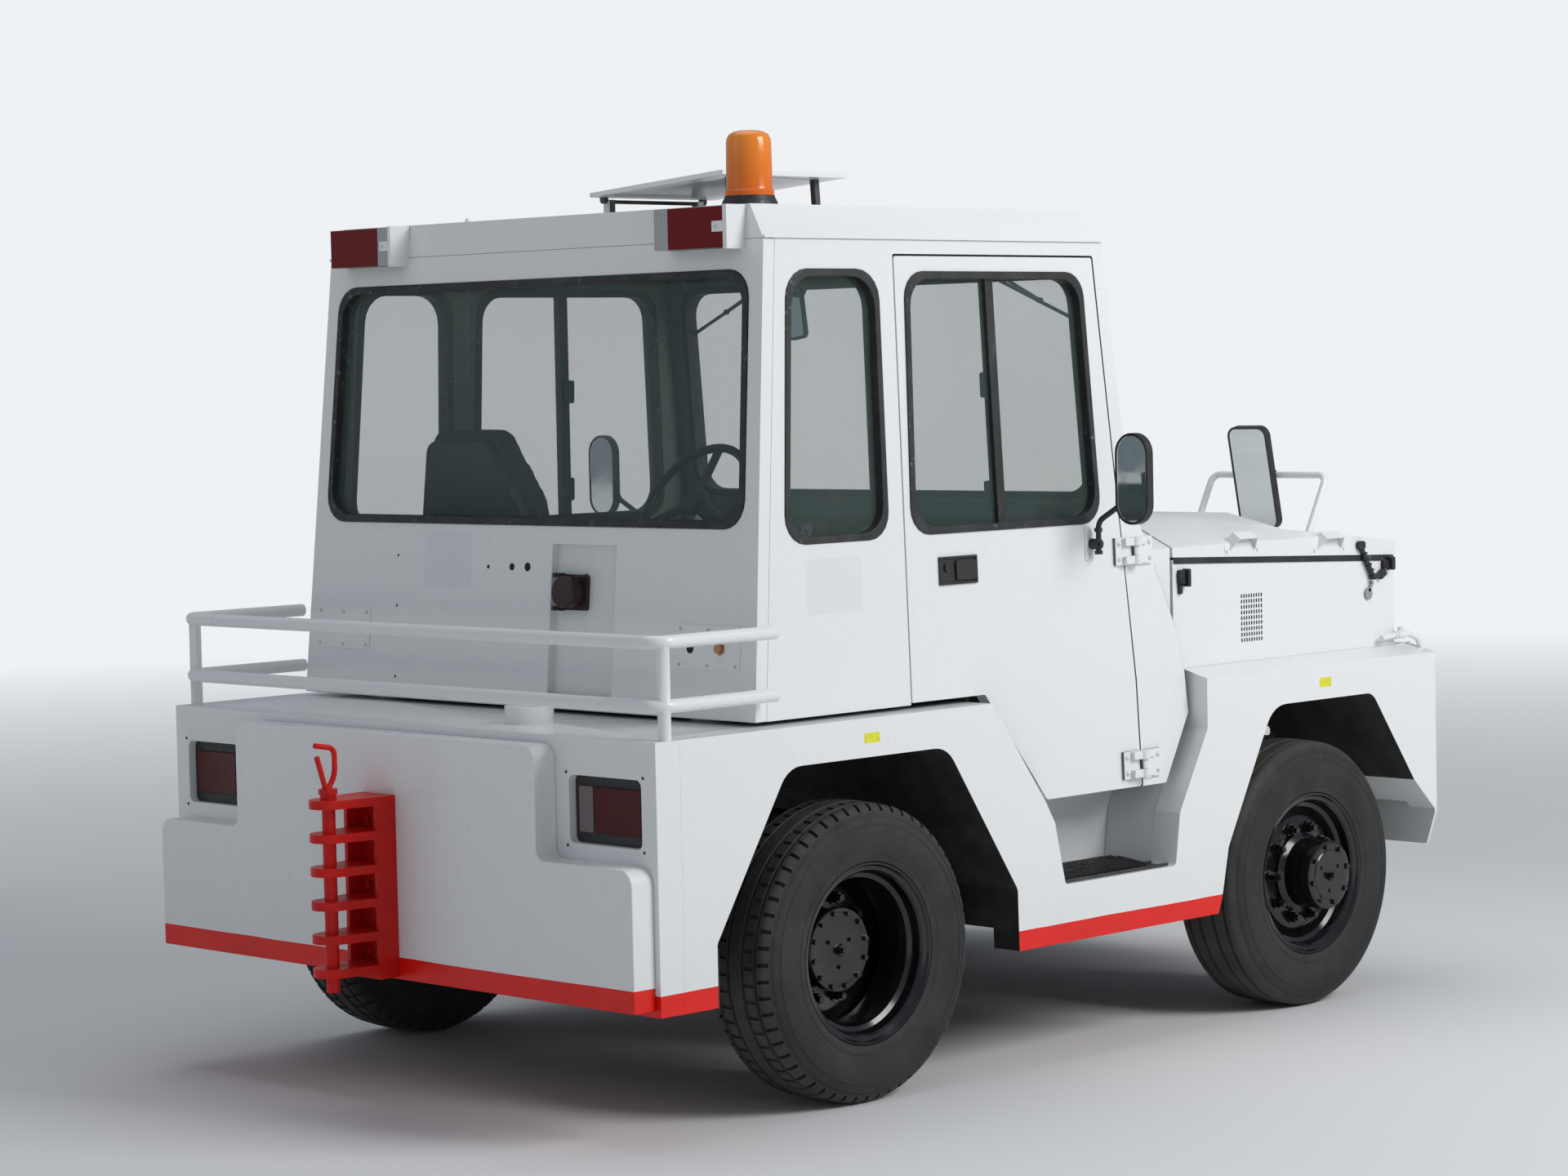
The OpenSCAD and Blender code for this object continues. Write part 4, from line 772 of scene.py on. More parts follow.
def wall_at(y, z):
    """A place on the outer face of the cab's rear wall, with its Z standing out of the wall."""
    x = fx(0.446 + REAR_LEAN * (z - CAB_FOOT))
    return Matrix.Translation((x, y, z)) @ Matrix.Rotation(math.atan(REAR_LEAN), 4, "Y") @ TO_REAR


def side_y(z):
    """How far the outer face of the cab's side lies from the middle at a height."""
    return 0.9935 - SIDE_LEAN * (z - CAB_FOOT)


def side_at(x, z, out=0.0, side=-1):
    """A place on the outer face of the cab's side, with its Z standing out of the side."""
    return Matrix.Translation((fx(x), side * (side_y(z) + out), z)) @ Matrix.Rotation(
        side * (math.atan(SIDE_LEAN) - math.pi / 2), 4, "X")


def on(bm, place, radius, depth, sides=16, tip=None):
    """A disc or cone on a place's plane, standing along the place's Z."""
    bmesh.ops.create_cone(bm, cap_ends=True, segments=sides, radius1=radius,
                          radius2=radius if tip is None else tip, depth=depth,
                          matrix=place @ Matrix.Translation((0, 0, depth / 2)))


bm = bmesh.new()
for y, z in ((0.816, 1.312), (-0.797, 1.308)):
    place = wall_at(y, z)
    block(bm, (0.256, 0.126, 0.004), place, 0.003)
    start = set(bm.faces)
    for across in (-0.112, 0, 0.112):
        for up in (-0.050, 0.050):
            on(bm, shifted(place, across, up), 0.0055, 0.0062, 12, 0.0045)
    coloured(bm, start, 1)
# The bolt holes and the open hole are thin near-black discs on the wall: painted shade in place of the holes.
start = set(bm.faces)
for y, z, radius in ((0.149, 1.513, 0.006), (0.043, 1.515, 0.011), (-0.026, 1.516, 0.013), (0.567, 1.539, 0.004),
                     (0.565, 1.387, 0.004), (0.560, 1.172, 0.004)):
    on(bm, wall_at(y, z), radius, 0.0006, 20)
on(bm, wall_at(-0.727, 1.303), 0.014, 0.0034, 20)
coloured(bm, start, 2)
start = set(bm.faces)
on(bm, wall_at(-0.848, 1.306), 0.018, 0.008, 6)
on(bm, wall_at(-0.848, 1.306), 0.0135, 0.018, 20, 0.0125)
coloured(bm, start, 3)
fitted("rear_wall_plates", bm, [white, bright_metal, dark, brass], edge=0.0008)

bm = bmesh.new()
socket = shifted(wall_at(-0.210, 1.447), z=-0.026)
block(bm, (0.124, 0.104, 0.010), socket, 0.012)
on(bm, shifted(socket, -0.006), 0.046, 0.052, 32, 0.043)
on(bm, shifted(socket, -0.006, 0, 0.052), 0.048, 0.008, 32, 0.044)
for up in (-0.048, 0.048):
    block(bm, (0.030, 0.014, 0.003), shifted(socket, 0.046, up, 0.012), 0.026)
    on(bm, shifted(socket, 0.046, up, 0.038), 0.005, 0.004, 10)
block(bm, (0.070, 0.007, 0.002), shifted(socket, -0.050, -0.046, 0.030, 8), 0.006)
fitted("lead_socket", bm, oxide, edge=0.001)

BODY_SIDE = 1.063
bm = bmesh.new()
block(bm, (0.215, 0.168, 0.002), wall_at(0.334, 1.533), 0.0004)
for side in (-1, 1):
    block(bm, (0.222, 0.154, 0.002), side_at(0.783, 1.469, 0, side), 0.0004)
fitted("blank_labels", bm, label_white)
bm = bmesh.new()
for side in (-1, 1):
    for x, z, width, high in ((0.839, 1.039, 0.064, 0.028), (2.963, 1.039, 0.062, 0.030)):
        block(bm, (width, high, 0.002), outward(fx(x), side * BODY_SIDE, z, side), 0.0005)
fitted("yellow_labels", bm, label_yellow)


# Door furniture
# Black recessed paddle handles, hinge irons with screws and thick knuckles, and a rubber strip down
# the front edge of each cab side, where it meets the front body. The irons ride on both bodies.
def swept(bm, points, radius, sides=14):
    """A round bar through points, closed at its ends."""
    rings = []
    for i, point in enumerate(points):
        way = (Vector(points[min(i + 1, len(points) - 1)]) - Vector(points[max(i - 1, 0)])).normalized()
        turn = Vector((0, 0, 1)).rotation_difference(way).to_matrix().to_4x4()
        ends = i in (0, len(points) - 1)
        made = bmesh.ops.create_circle(bm, cap_ends=ends, radius=radius, segments=sides,
                                       matrix=Matrix.Translation(point) @ turn)["verts"]
        rings.append(list({edge for v in made for edge in v.link_edges}))
    for ring, after in zip(rings, rings[1:]):
        bmesh.ops.bridge_loops(bm, edges=ring + after)
    bmesh.ops.recalc_face_normals(bm, faces=bm.faces)


def bent(points, radius, steps=6):
    """The points of a bar whose corners are bent to a radius."""
    path = [Vector(points[0])]
    for before, here, after in zip(points, points[1:], points[2:]):
        here = Vector(here)
        back, on_way = (Vector(before) - here).normalized(), (Vector(after) - here).normalized()
        half = back.angle(on_way) / 2
        start, end = here + back * radius / math.tan(half), here + on_way * radius / math.tan(half)
        centre = here + (back + on_way).normalized() * radius / math.sin(half)
        for i in range(steps + 1):
            spoke = start.lerp(end, i / steps) - centre
            path.append(centre + spoke.normalized() * radius)
    path.append(Vector(points[-1]))
    return path


HINGE_X, HINGE_HEIGHTS = 2.096, (0.850, 1.503)
DOOR_SIDES = ((1, "door_l"), (-1, "door_r"))
HANDLE_FRAME = (((-0.082, -0.041), (0.082, -0.034)), ((-0.082, 0.034), (0.082, 0.041)),
                ((-0.082, -0.034), (-0.074, 0.034)), ((0.074, -0.034), (0.082, 0.034)))
for side, body in DOOR_SIDES:
    bm = bmesh.new()
    place = side_at(1.300, 1.485, 0, side)
    for (x0, y0), (x1, y1) in HANDLE_FRAME:
        block(bm, (x1 - x0, y1 - y0, 0.001, 1), shifted(place, (x0 + x1) / 2, (y0 + y1) / 2), 0.0065)
    block(bm, (0.150, 0.070, 0.002), place, 0.0015)
    block(bm, (0.084, 0.058, 0.008), shifted(place, -side * 0.030, 0, 0.0015), 0.0070)
    on(bm, shifted(place, side * 0.048, 0.008, 0.0015), 0.012, 0.0055, 20)
    fitted("door_handle_" + body[-1], bm, black_plastic, body, 0.0012)
    irons = {body: bmesh.new(), "chassis": bmesh.new()}
    for z in HINGE_HEIGHTS:
        for x, rider in ((HINGE_X - 0.072, body), (HINGE_X + 0.074, "chassis")):
            for up in (-0.024, 0.024):
                on(irons[rider], side_at(x, z + up, 0.0092, side), 0.0085, 0.005, 6)
                on(irons[rider], side_at(x, z + up, 0.0142, side), 0.0045, 0.003, 12)
        for low in (-0.042, 0.0145):
            upright = side_at(HINGE_X, z + low, 0.017, side) @ Matrix.Rotation(-math.pi / 2, 4, "X")
            block(irons[body], (0.039, 0.039, 0.0193), upright, 0.0275)
        for up in (-0.028, 0.028):
            block(irons[body], (0.052, 0.024, 0.003), side_at(HINGE_X - 0.030, z + up, 0.006, side), 0.020)
            block(irons["chassis"], (0.028, 0.022, 0.003), side_at(HINGE_X + 0.041, z + up, 0.006, side), 0.012)
    for rider, bm in irons.items():
        fitted("hinge_irons_%s_%s" % (body[-1], rider), bm, white, rider, 0.0012)

SEAL_LINE = [(2.222, 0.800), (2.342, 0.990), (2.330, 1.121), (2.298, 1.250), (2.204, 1.450)]  # station, height
bm = bmesh.new()
for side in (-1, 1):
    swept(bm, bent([side_at(x, z, -0.012, side).translation for x, z in SEAL_LINE], 0.05), 0.008, 10)
fitted("cab_side_seals", bm, rubber)


# Mirrors
# Tall round-ended door mirrors on bent arms and a larger one on the bonnet's hoop: black moulded
# cases with flat glass toward the rear.
silvered = finish("mirror_silver", (0.72, 0.75, 0.76, 1), 0.03, metallic=1.0)
roughened(silvered, (14, 4), (0.4, 0.9), (0.015, 0.12))


def mirror_shape(bm, place, width, high, radius, depth):
    """A case with a rim proud of its glass; the place's Z points out of the glass."""
    start = set(bm.faces)
    block(bm, (width, high, radius, 10), shifted(place, z=-depth), depth)
    out = place.to_3x3() @ Vector((0, 0, 1))
    front = max((f for f in bm.faces if f not in start), key=lambda f: f.normal.dot(out))
    bmesh.ops.inset_region(bm, faces=[front], thickness=0.006, depth=0)
    bmesh.ops.inset_region(bm, faces=[front], thickness=0.0015, depth=-0.003)
    front.material_index = 1
    back = min((f for f in bm.faces if f not in start), key=lambda f: f.normal.dot(out))
    bmesh.ops.inset_region(bm, faces=[back], thickness=0.010, depth=0.0)
    bmesh.ops.translate(bm, verts=back.verts, vec=out * -0.0001)


MIRROR_FOOT = 1.532
for side, body in DOOR_SIDES:
    bm = bmesh.new()
    middle = Matrix.Translation((fx(1.875), side * 1.1645, 1.730)) @ TO_REAR
    mirror_shape(bm, middle, 0.124, 0.274, 0.0615, 0.030)
    foot_y = side_y(MIRROR_FOOT)
    arm = [(fx(1.905), foot_y + 0.030, 1.505), (fx(1.904), foot_y + 0.032, 1.600), (fx(1.899), 1.098, 1.648),
           (fx(1.899), 1.130, 1.690)]
    swept(bm, [Vector((x, side * y, z)) for x, y, z in bent(arm, 0.035)], 0.0085, 14)
    stud(bm, (fx(1.905), side * (foot_y + 0.019), MIRROR_FOOT), 0.0165, 0.036, 24)
    stud(bm, (fx(1.905), side * (foot_y + 0.040), MIRROR_FOOT), 0.010, 0.008, 6)
    for z in (1.507, 1.575):
        stud(bm, (fx(1.905), side * (foot_y + 0.030), z), 0.0125, 0.012, 20, "Z")
    node = "mirror_left" if side > 0 else "mirror_right"
    fitted(node + "_finished", bm, [black_plastic, silvered], body, 0.002, 35, 50, node)
    bm = bmesh.new()
    block(bm, (0.040, 0.100, 0.004), side_at(1.895, MIRROR_FOOT, 0, side), 0.0035)
    for up in (-0.036, 0.036):
        on(bm, side_at(1.895, MIRROR_FOOT + up, 0.0035, side), 0.007, 0.004, 6)
    fitted("mirror_plate_" + body[-1], bm, white, body, edge=0.001)

HOOP_LEAN, HOOP_LENGTH, HOOP_Y = math.radians(29), 0.213, -0.5855
hoop_x = fx(3.151) + HOOP_LENGTH * math.sin(HOOP_LEAN)
hoop_z = 1.5062 + HOOP_LENGTH * math.cos(HOOP_LEAN)
bm = bmesh.new()
place = Matrix.Translation((hoop_x, HOOP_Y, hoop_z)) @ Matrix.Rotation(math.radians(-12), 4, "Y")
mirror_shape(bm, shifted(place, -0.0393, 0, -0.003) @ TO_REAR, 0.160, 0.352, 0.035, 0.028)
for y in (HOOP_Y - 0.05, HOOP_Y + 0.05):
    brick(bm, (hoop_x - 0.014, y - 0.012, hoop_z - 0.016), (hoop_x + 0.014, y + 0.012, hoop_z + 0.016))
node = "bonnet_mirror"
fitted(node + "_finished", bm, [black_plastic, silvered], "lid", 0.003, 35, 50, node)


# Bonnet furniture
# A dark rubber strip under the lid, rubber latches down its right side, a punched air vent, white
# lifting straps bolted to the slope, and a white pipe stub on the right fender's front corner.
BONNET_SIDE = 0.9655


def lid_low(station):
    """Height of the lid's lower edge."""
    return 1.470 - 0.048 * (station - 2.312) / 1.166


def on_side(x, z, out=0.0, turn=0.0):
    """A place on the bonnet's right side, its Z pointing out, turned in the side's plane."""
    return shifted(outward(fx(x), -BONNET_SIDE - out, z), turn=turn)


bm = bmesh.new()
SEAL_SPANS = {-1: [(2.316, 3.474)], 1: [(2.316, 2.560), (2.680, 3.140), (3.260, 3.474)]}
for side, spans in SEAL_SPANS.items():
    for x0, x1 in spans:
        corners = [(fx(x0), lid_low(x0) - 0.020), (fx(x1), lid_low(x1) - 0.020), (fx(x1), lid_low(x1) - 0.0008),
                   (fx(x0), lid_low(x0) - 0.0008)]
        ring = [bm.verts.new((x, side * BONNET_SIDE, z)) for x, z in corners]
        grown = bmesh.ops.extrude_face_region(bm, geom=[bm.faces.new(ring)])
        bmesh.ops.translate(bm, verts=[v for v in grown["geom"] if isinstance(v, bmesh.types.BMVert)],
                            vec=(0, side * 0.0035, 0))
brick(bm, (fx(3.4782), -0.960, lid_low(3.478) - 0.020), (fx(3.4812), 0.960, lid_low(3.478) - 0.0008))
bmesh.ops.recalc_face_normals(bm, faces=bm.faces)
fitted("lid_seal", bm, rubber, edge=0.0006)

# The vent's slots are thin near-black blocks on the bonnet side: painted shade in place of the punched openings.
bm = bmesh.new()
for i in range(9):
    for j in range(9):
        block(bm, (0.0055, 0.0125, 0.0026, 3), on_side(2.657 + i * 0.0128, 1.190 + j * 0.0175), 0.0008)
fitted("bonnet_vent", bm, dark)

LATCH_BLOCKS = [  # outline, place on the bonnet's side, depth
    ((0.036, 0.028, 0.012), (3.283, 1.462, 0.004), 0.014),
    ((0.122, 0.016, 0.007), (3.312, 1.412, 0.004, -57), 0.011),
    *[((0.005, 0.023, 0.002), (3.312 + step * 0.545, 1.412 - step * 0.839, 0.006, -57), 0.013)
      for step in (-0.044, -0.022, 0, 0.022, 0.044)],
    ((0.034, 0.016, 0.006), (3.350, 1.356, 0.004, 12), 0.022),
    ((0.052, 0.026, 0.006), (3.432, 1.392), 0.016),
    ((0.018, 0.044, 0.006), (3.443, 1.395), 0.028),
    ((0.036, 0.024, 0.006), (3.398, 1.362, 0.0, 30), 0.018),
    ((0.040, 0.044, 0.008), (2.352, 1.408), 0.016),
    ((0.014, 0.056, 0.005), (2.366, 1.405), 0.026),
    ((0.016, 0.060, 0.006), (2.343, 1.384), 0.009),
]
bm = bmesh.new()
for outline, spot, depth in LATCH_BLOCKS:
    block(bm, outline, on_side(*spot), depth)
fitted("bonnet_latches", bm, rubber, edge=0.0012)
bm = bmesh.new()
on(bm, on_side(3.330, 1.300, 0.001), 0.019, 0.007, 28)
block(bm, (0.012, 0.040, 0.005), on_side(3.342, 1.322, 0.002, -40), 0.006)
fitted("latch_pin", bm, dull_metal("latch_grey", (0.30, 0.31, 0.32, 1), 0.2), edge=0.0008)

bm = bmesh.new()
STRAP = [(-0.066, 0), (-0.047, 0.044), (0.047, 0.044), (0.066, 0), (0.062, 0), (0.0445, 0.0405), (-0.0445, 0.0405),
         (-0.062, 0)]
for x, z in ((2.662, 1.482), (3.121, 1.462)):
    place = Matrix.Translation((fx(x), -BONNET_SIDE - 0.001, z)) @ Matrix.Rotation(math.radians(35 + 90), 4, "X")
    prism(bm, STRAP, shifted(place, z=-0.030), 0.036)
    for end in (-0.074, 0.074):
        block(bm, (0.032, 0.030, 0.003), on_side(x + end, z - 0.006), 0.003)
        on(bm, on_side(x + end * 1.05, z - 0.006, 0.003), 0.0065, 0.004, 6)
fitted("lifting_flaps", bm, white, "lid", edge=0.0008)

bm = bmesh.new()
PIPE_Y, PIPE_Z = -0.990, 1.156
line = [(fx(3.372), PIPE_Y, 1.150), (fx(3.440), PIPE_Y, PIPE_Z), (fx(3.520), PIPE_Y, PIPE_Z),
        (fx(3.552), -1.005, 1.142), (fx(3.562), -1.016, 1.1045)]
swept(bm, bent(line, 0.020), 0.0095, 16)
stud(bm, (fx(3.482), PIPE_Y, PIPE_Z), 0.0135, 0.044, 20, "X")
stud(bm, (fx(3.482), PIPE_Y, PIPE_Z + 0.016), 0.0115, 0.018, 20, "Z")
stud(bm, (fx(3.450), PIPE_Y, PIPE_Z), 0.0145, 0.010, 6, "X")
wedge = [(3.345, 1.1045), (3.600, 1.1045), (3.600, 1.110), (3.560, 1.128), (3.345, 1.112)]
prism(bm, [(fx(x), z) for x, z in wedge], outward(0, -0.968, 0), 0.004)
fitted("fender_pipe", bm, white, edge=0.0008)


# Steps
# White sheet wells welded between the body sides, each with a dark serrated grating let into its
# tread against slipping.
STEP_GREY = (0.10, 0.10, 0.102, 1)
step_metal = finish("step_metal", STEP_GREY, 0.42, metallic=0.7)
tinted(step_metal, mottled(step_metal, (14, 6), (0.42, 0.75), STEP_GREY, (0.045, 0.043, 0.040, 1), 0.75))
roughened(step_metal, (30, 4), (0.3, 0.75), (0.3, 0.6))
bumped(step_metal, noise(step_metal, 90, 3), 0.2, 0.0006)
dressed("steps", white, 0.002)
WELL_Y, WELL_FLOOR, GRATING_FLOOR = 0.914, 0.5305, 0.5325
WELL_ENDS = [[(2.188, WELL_FLOOR), (2.212, 0.691), (2.332, 0.900), (2.356, 0.942), (2.359, 0.942), (2.335, 0.899),
              (2.215, 0.690), (2.191, WELL_FLOOR)],
             [(1.662, WELL_FLOOR), (1.619, 0.718), (1.580, 0.783), (1.350, 1.086), (1.346, 1.086), (1.577, 0.782),
              (1.616, 0.717), (1.659, WELL_FLOOR)]]
bm = bmesh.new()
for side in (-1, 1):
    low, high = sorted((side * 0.782, side * 1.046))
    brick(bm, (fx(1.684), low, 0.5301), (fx(2.168), high, GRATING_FLOOR))
    for i in range(27):
        bar = Matrix.Translation((fx(1.700 + 0.0174 * i), side * WELL_Y, GRATING_FLOOR))
        block(bm, (0.0045, 0.262 if 0 < i < 26 else 0.20, 0.001, 1), shifted(bar, turn=24 * side), 0.010)
    for across in (0.784, 0.850, 0.914, 0.978, 1.044):
        low, high = sorted((side * across, side * (across + 0.003)))
        brick(bm, (fx(1.684), low, GRATING_FLOOR), (fx(2.168), high, 0.5405))
fitted("step_gratings", bm, step_metal)
bm = bmesh.new()
for side in (-1, 1):
    for outline in WELL_ENDS:
        prism(bm, [(fx(x), z) for x, z in outline], outward(0, side * WELL_Y + 0.139, 0), 0.278)
fitted("step_well_ends", bm, white)


# Mud flaps
# Short sheets of black rubber inside the rear ends of the rear wheel arches, each held by a steel
# strip with four bolts.
FLAP = [(0.2155, 0.350), (0.2155, 0.520), (0.2215, 0.520), (0.2215, 0.350)]  # station, height
bm = bmesh.new()
for side in (-1, 1):
    prism(bm, [(fx(x), z) for x, z in FLAP], outward(0, side * 0.932 + 0.129, 0), 0.258)
fitted("mud_flaps", bm, rubber, edge=0.001)
bm = bmesh.new()
for side in (-1, 1):
    strip_y = side * 0.925
    brick(bm, (fx(0.2215), strip_y - 0.118, 0.482), (fx(0.2245), strip_y + 0.118, 0.512))
    for i in range(4):
        stud(bm, (fx(0.2270), strip_y - 0.090 + 0.060 * i, 0.497), 0.0075, 0.005, 6, "X")
fitted("mud_flap_strips", bm, frame_black, edge=0.0006)


# Seat
# A sprung driver's seat on black bellows: a moulded pan and back shell with foam pads sewn into
# dark grey-blue cloth. The pads swell a little between their seams and are piped along the edge.
CLOTH_BLUE = (0.040, 0.046, 0.056, 1)
seat_cloth = finish("seat_cloth", CLOTH_BLUE, 0.9)
weave = [shade(seat_cloth.node_tree, "ShaderNodeTexWave",
               {"Scale": 130, "Distortion": 0.6, "Vector": own_place(seat_cloth)}, bands_direction=way).outputs["Fac"]
         for way in ("X", "Z")]
woven = times(seat_cloth, *weave)
tone = mottled(seat_cloth, (5, 4), (0.35, 0.7), CLOTH_BLUE, (0.058, 0.064, 0.074, 1))
tone = blended(seat_cloth, ranged(seat_cloth, woven, 0.1, 0.6, 0.0, 0.5), tone, (0.022, 0.025, 0.031, 1))
tinted(seat_cloth, tone)
bumped(seat_cloth, woven, 0.5, 0.0008)
piping = finish("seat_piping", (0.016, 0.017, 0.019, 1), 0.6)
roughened(piping, (60, 4), (0.3, 0.7), (0.5, 0.75))
SEAT_Y = 0.4505
PAD_SWELL = 0.012


def puffed(name, bm, sewn):
    """A pad that a cloth simulation swells between its pinned seams, no point by more than PAD_SWELL."""
    pad = built(name, bm, seat_cloth, 180)
    fine = pad.modifiers.new("fine", "REMESH")
    fine.mode, fine.voxel_size = "VOXEL", 0.007
    pad.data = bpy.data.meshes.new_from_object(pad.evaluated_get(bpy.context.evaluated_depsgraph_get()))
    pad.modifiers.clear()
    held = pad.vertex_groups.new(name="sewn")
    held.add([v.index for v in pad.data.vertices if sewn(v.co)], 1.0, "REPLACE")
    start = [v.co.copy() for v in pad.data.vertices]
    bpy.context.scene.frame_set(1)
    cloth = pad.modifiers.new("cloth", "CLOTH")
    cloth.settings.use_pressure = True
    cloth.settings.uniform_pressure_force = 4
    cloth.settings.vertex_group_mass = "sewn"
    cloth.settings.effector_weights.gravity = 0
    cloth.point_cache.frame_end = 20
    for step in range(1, 21):
        bpy.context.scene.frame_set(step)
    swollen = bpy.data.meshes.new_from_object(pad.evaluated_get(bpy.context.evaluated_depsgraph_get()))
    for vertex, before in zip(swollen.vertices, start):
        way = vertex.co - before
        if way.length > PAD_SWELL:
            vertex.co = before + way.normalized() * PAD_SWELL
    pad.modifiers.clear()
    pad.data = swollen
    bpy.context.scene.frame_set(1)
    pad.vertex_groups.clear()
    pad.data.shade_smooth()
    finer = pad.modifiers.new("finer", "SUBSURF")
    finer.levels = finer.render_levels = 1
    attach(pad, "chassis")
    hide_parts("seat")


def shouldered(half, high, radius):
    """A backrest's outline: upright sides below, sloping shoulders above."""
    points = [(-half + 0.030, 0), (-half, 0.030), (-half - 0.008, high * 0.53), (-half * 0.62, high),
              (half * 0.62, high), (half + 0.008, high * 0.53), (half, 0.030), (half - 0.030, 0)]
    return [(point.x, point.y) for point in bent([Vector((x, y, 0)) for x, y in points], radius)]


back_lean = math.radians(13)
BACKREST = Matrix.Translation((fx(0.846), SEAT_Y, 1.418)) @ Matrix.Rotation(-back_lean, 4, "Y") @ Matrix.Rotation(
    math.pi / 2, 4, "Y") @ Matrix.Rotation(math.pi / 2, 4, "Z")
CUSHION = Matrix.Translation((fx(1.030), SEAT_Y, 1.318)) @ Matrix.Rotation(math.radians(-3), 4, "Y")
back_outline = shouldered(0.232, 0.512, 0.060)
seat_outline = rounded_rect(0.420, 0.460, 0.075, 8)


def near(value, *lines):
    """Whether a value lies on one of some seam lines."""
    return any(abs(value - line) < 0.0045 for line in lines)


def back_sewn(point):
    """Whether a point of the backrest is held by its shell or by a seam."""
    here = BACKREST.inverted() @ point
    if here.z < -0.055:
        return True
    seam = near(here.x, -0.125, 0.125) or (abs(here.x) < 0.125 and near(here.y, 0.150, 0.270, 0.385))
    return here.z > -0.012 and seam and here.y < 0.470


def seat_sewn(point):
    """Whether a point of the cushion is held by its pan or by a seam."""
    here = CUSHION.inverted() @ point
    if here.z < 0.020:
        return True
    seam = near(here.y, -0.130, 0.130) or (abs(here.y) < 0.130 and near(here.x, -0.060, 0.070))
    return here.z > 0.060 and seam and abs(here.x) < 0.190


bm = bmesh.new()
prism(bm, back_outline, shifted(BACKREST, z=-0.080), 0.075)
bolster = [(0.128, 0.04), (0.222, 0.04), (0.226, 0.290), (0.176, 0.400), (0.128, 0.400)]
for side in (-1, 1):
    prism(bm, [(side * x, y) for x, y in bolster], shifted(BACKREST, z=-0.010), 0.022)
puffed("seat_back", bm, back_sewn)
bm = bmesh.new()
prism(bm, seat_outline, CUSHION, 0.075)
bolster = [(-0.17, 0.132), (0.18, 0.132), (0.18, 0.222), (-0.17, 0.222)]
for side in (-1, 1):
    prism(bm, [(x, side * y) for x, y in bolster], shifted(CUSHION, z=0.070), 0.022)
puffed("seat_cushion", bm, seat_sewn)
bm = bmesh.new()
for outline, place in ((back_outline, shifted(BACKREST, z=-0.062)), (seat_outline, shifted(CUSHION, z=0.014))):
    path = [place @ Vector((x * 1.012, y * 1.008, 0)) for x, y in outline]
    swept(bm, path + [path[0].lerp(path[1], 0.3)], 0.0045, 8)
fitted("seat_piping", bm, piping)
bm = bmesh.new()
prism(bm, shouldered(0.224, 0.500, 0.058), shifted(BACKREST, z=-0.112), 0.034)
block(bm, (0.440, 0.470, 0.060), shifted(CUSHION, z=-0.020), 0.024)
for i in range(6):
    wide = 0.360 if i % 2 else 0.320
    block(bm, (wide, wide + 0.020, 0.040), Matrix.Translation((fx(0.980), SEAT_Y, 1.1225 + 0.029 * i)), 0.031)
for side in (-1, 1):
    block(bm, (0.060, 0.120, 0.020), outward(fx(0.810), SEAT_Y + side * 0.228 + 0.008, 1.360), 0.016)
fitted("seat_shell", bm, black_plastic, edge=0.004, node="seat")


# Dashboard and steering
# A black moulded console across the cab's front with a hooded cluster ahead of the driver, three
# dials, a row of rocker switches and two stalks, and a plain three-spoke wheel on its column.
dressed("dashboard", black_plastic, 0.012, 40)
dressed("steering_wheel", black_plastic, 0.003, 50)
dial_white = finish("dial_face", (0.55, 0.56, 0.54, 1), 0.4)
roughened(dial_white, (90, 3), (0.3, 0.7), (0.3, 0.5))
HOOD = [(2.190, 1.486), (2.045, 1.486), (2.030, 1.500), (2.052, 1.586), (2.075, 1.590), (2.190, 1.520)]
CLUSTER_LEAN = math.atan(0.022 / 0.086)
CLUSTER = Matrix.Translation((fx(2.0410), SEAT_Y, 1.543)) @ Matrix.Rotation(CLUSTER_LEAN, 4, "Y") @ TO_REAR
bm = bmesh.new()
prism(bm, [(fx(x), z) for x, z in HOOD], outward(0, SEAT_Y + 0.190, 0), 0.380)
fitted("cluster_hood", bm, black_plastic, edge=0.008)
bm = bmesh.new()
for across, radius in ((-0.105, 0.030), (0, 0.034), (0.105, 0.030)):
    on(bm, shifted(CLUSTER, across), radius, 0.006, 32)
    start = set(bm.faces)
    on(bm, shifted(CLUSTER, across, 0, 0.006), radius - 0.004, 0.001, 32)
    coloured(bm, start, 1)
    block(bm, (0.003, radius * 1.1, 0.001), shifted(CLUSTER, across, 0.006, 0.007, 40), 0.0012)
    on(bm, shifted(CLUSTER, across, 0, 0.007), 0.005, 0.002, 12)
fitted("cluster_dials", bm, [black_plastic, dial_white])
COLUMN_LEAN, STALK_UP = math.radians(55), 0.245
bm = bmesh.new()
for i in range(7):
    brick(bm, (fx(1.9540), 0.020 - 0.046 * i, 1.416), (fx(1.9605), 0.054 - 0.046 * i, 1.462))
root = Vector((fx(1.965) - STALK_UP * math.sin(COLUMN_LEAN), SEAT_Y, 1.424 + STALK_UP * math.cos(COLUMN_LEAN)))
for side in (-1, 1):
    stalk = [root, root + Vector((-0.010, side * 0.075, 0.010)), root + Vector((-0.045, side * 0.150, 0.030))]
    swept(bm, bent(stalk, 0.03), 0.006, 12)
fitted("switches_and_stalks", bm, black_plastic, edge=0.001)


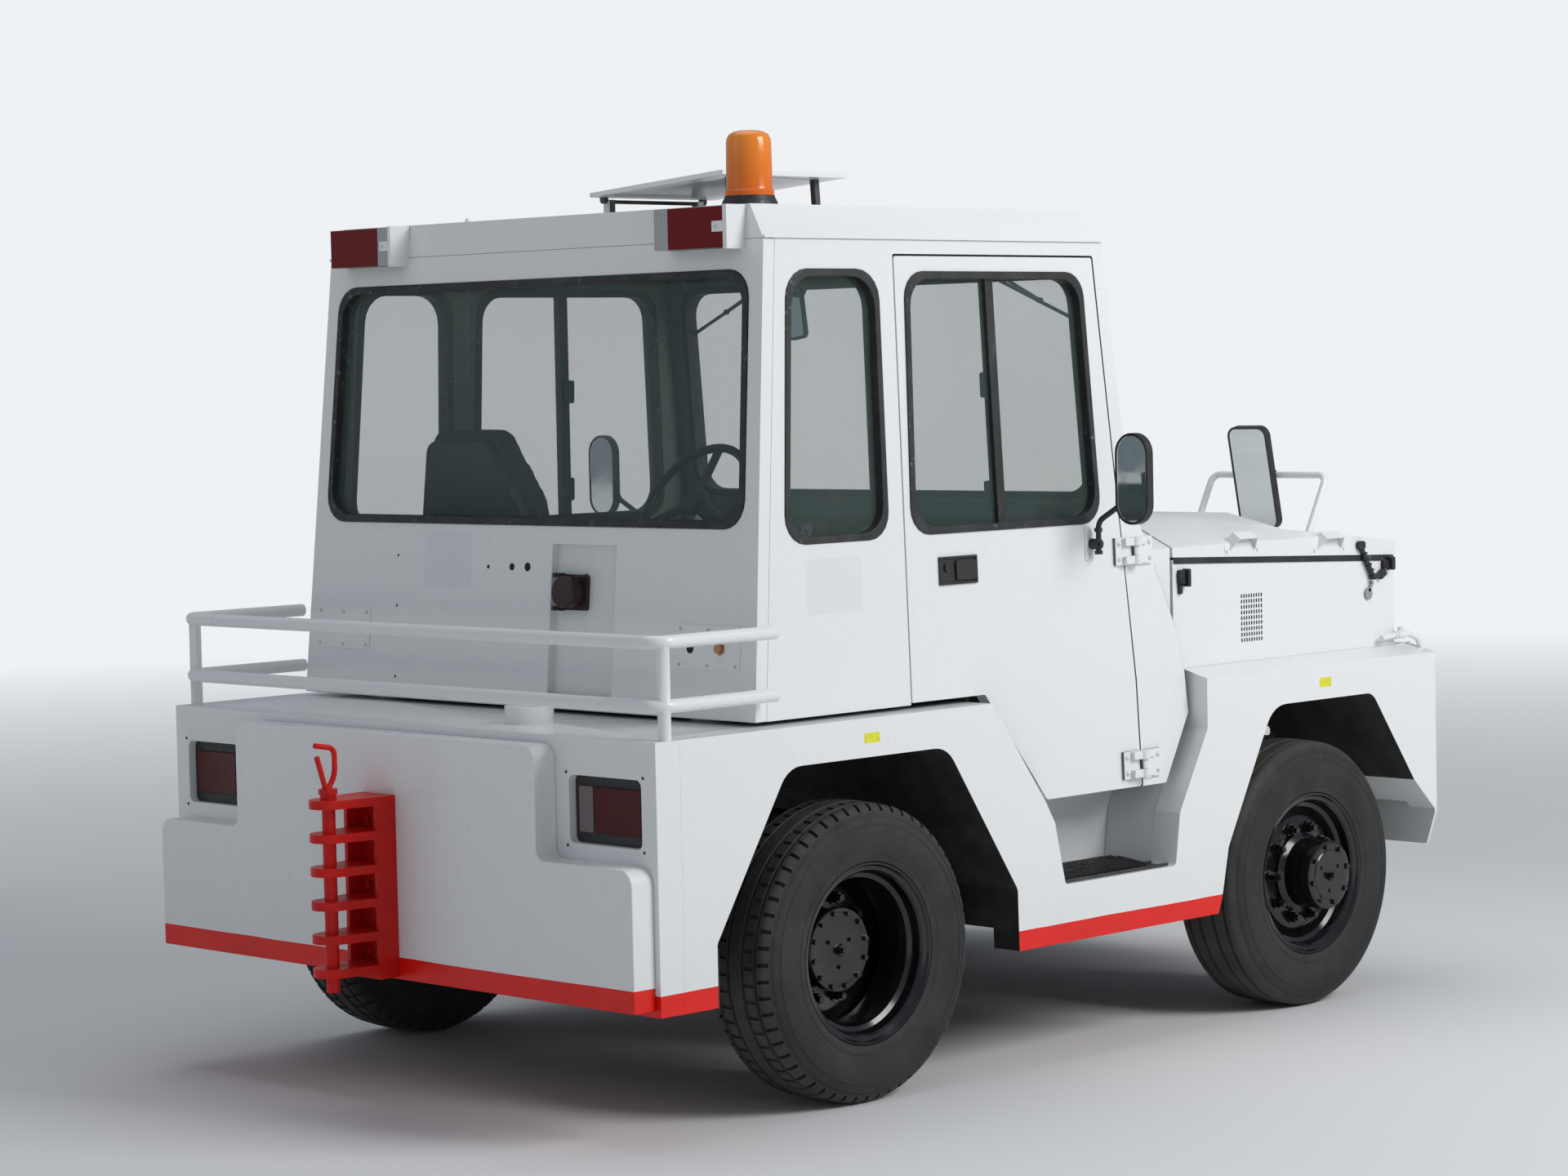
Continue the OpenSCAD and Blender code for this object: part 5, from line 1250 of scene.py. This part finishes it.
# Cab fittings
# A tall inside mirror and a dark grab bracket below the roof lining ahead of the driver, and a
# black pull latch on the bar of each door window.
bm = bmesh.new()
place = Matrix.Translation((fx(1.925), 0.276, 2.258)) @ Matrix.Rotation(math.radians(-8), 4, "X") @ TO_REAR
mirror_shape(bm, place, 0.078, 0.168, 0.020, 0.018)
MOUNT = (fx(1.955), 0.247, 2.4295)
swept(bm, bent([(fx(1.945), 0.262, 2.300), (fx(1.962), 0.252, 2.345), MOUNT], 0.02), 0.005, 12)
on(bm, Matrix.Translation(MOUNT), 0.018, 0.006, 20)
fitted("inside_mirror", bm, [black_plastic, silvered], edge=0.001)
LINING = 2.4345
bm = bmesh.new()
for a, b in ((0.640, 0.760), (0.780, 0.860)):
    line = [(fx(1.905), y, z) for y, z in ((a, LINING), (a + 0.012, 2.372), (b - 0.012, 2.372), (b, LINING))]
    swept(bm, bent(line, 0.022), 0.010, 14)
brick(bm, (fx(1.880), 0.620, 2.4285), (fx(1.930), 0.880, LINING))
fitted("grab_bracket", bm, black_plastic, edge=0.002)
for side, body in DOOR_SIDES:
    bm = bmesh.new()
    for z in (1.700, 2.020):
        block(bm, (0.030, 0.075, 0.008), shifted(side_at(1.512, z, -0.042, side), z=-0.018), 0.020)
    fitted("window_latch_" + body[-1], bm, black_plastic, body, 0.002)


# Windscreen wipers
# Two black arms that pivot on the head of the windscreen and carry flat blades, parked slantwise
# across its upper corners.
def on_screen(y, z, out=0.0):
    """A point just ahead of the windscreen's outer face."""
    return Vector((fx(2.100 - 0.090 * (z - 1.600) / 0.842) + out, y, z))


bm = bmesh.new()
for side in (-1, 1):
    pivot = (side * 0.430, 2.400)
    stud(bm, on_screen(*pivot, 0.012), 0.016, 0.024, 20, "X")
    arm = [on_screen(*pivot, 0.020), on_screen(side * 0.500, 2.365, 0.020), on_screen(side * 0.690, 2.274, 0.002)]
    swept(bm, bent(arm, 0.05), 0.005, 10)
    blade = ((0.535, 2.341, -0.008), (0.690, 2.272, -0.006), (0.850, 2.203, -0.008))
    swept(bm, [on_screen(side * y, z, out) for y, z, out in blade], 0.006, 8)
    stud(bm, on_screen(side * 0.690, 2.274, -0.002), 0.009, 0.012, 12, "X")
fitted("wipers", bm, black_plastic)


# Roof nipple
# A drain nipple at the roof's rear edge, pressed from the same sheet.
bm = bmesh.new()
turned(bm, [(0, 0), (0.009, 0), (0.009, 0.006), (0.006, 0.012), (0, 0.013)], (fx(0.585), 0.322, 2.5375), 20)
fitted("roof_nipple", bm, white)

low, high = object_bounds()
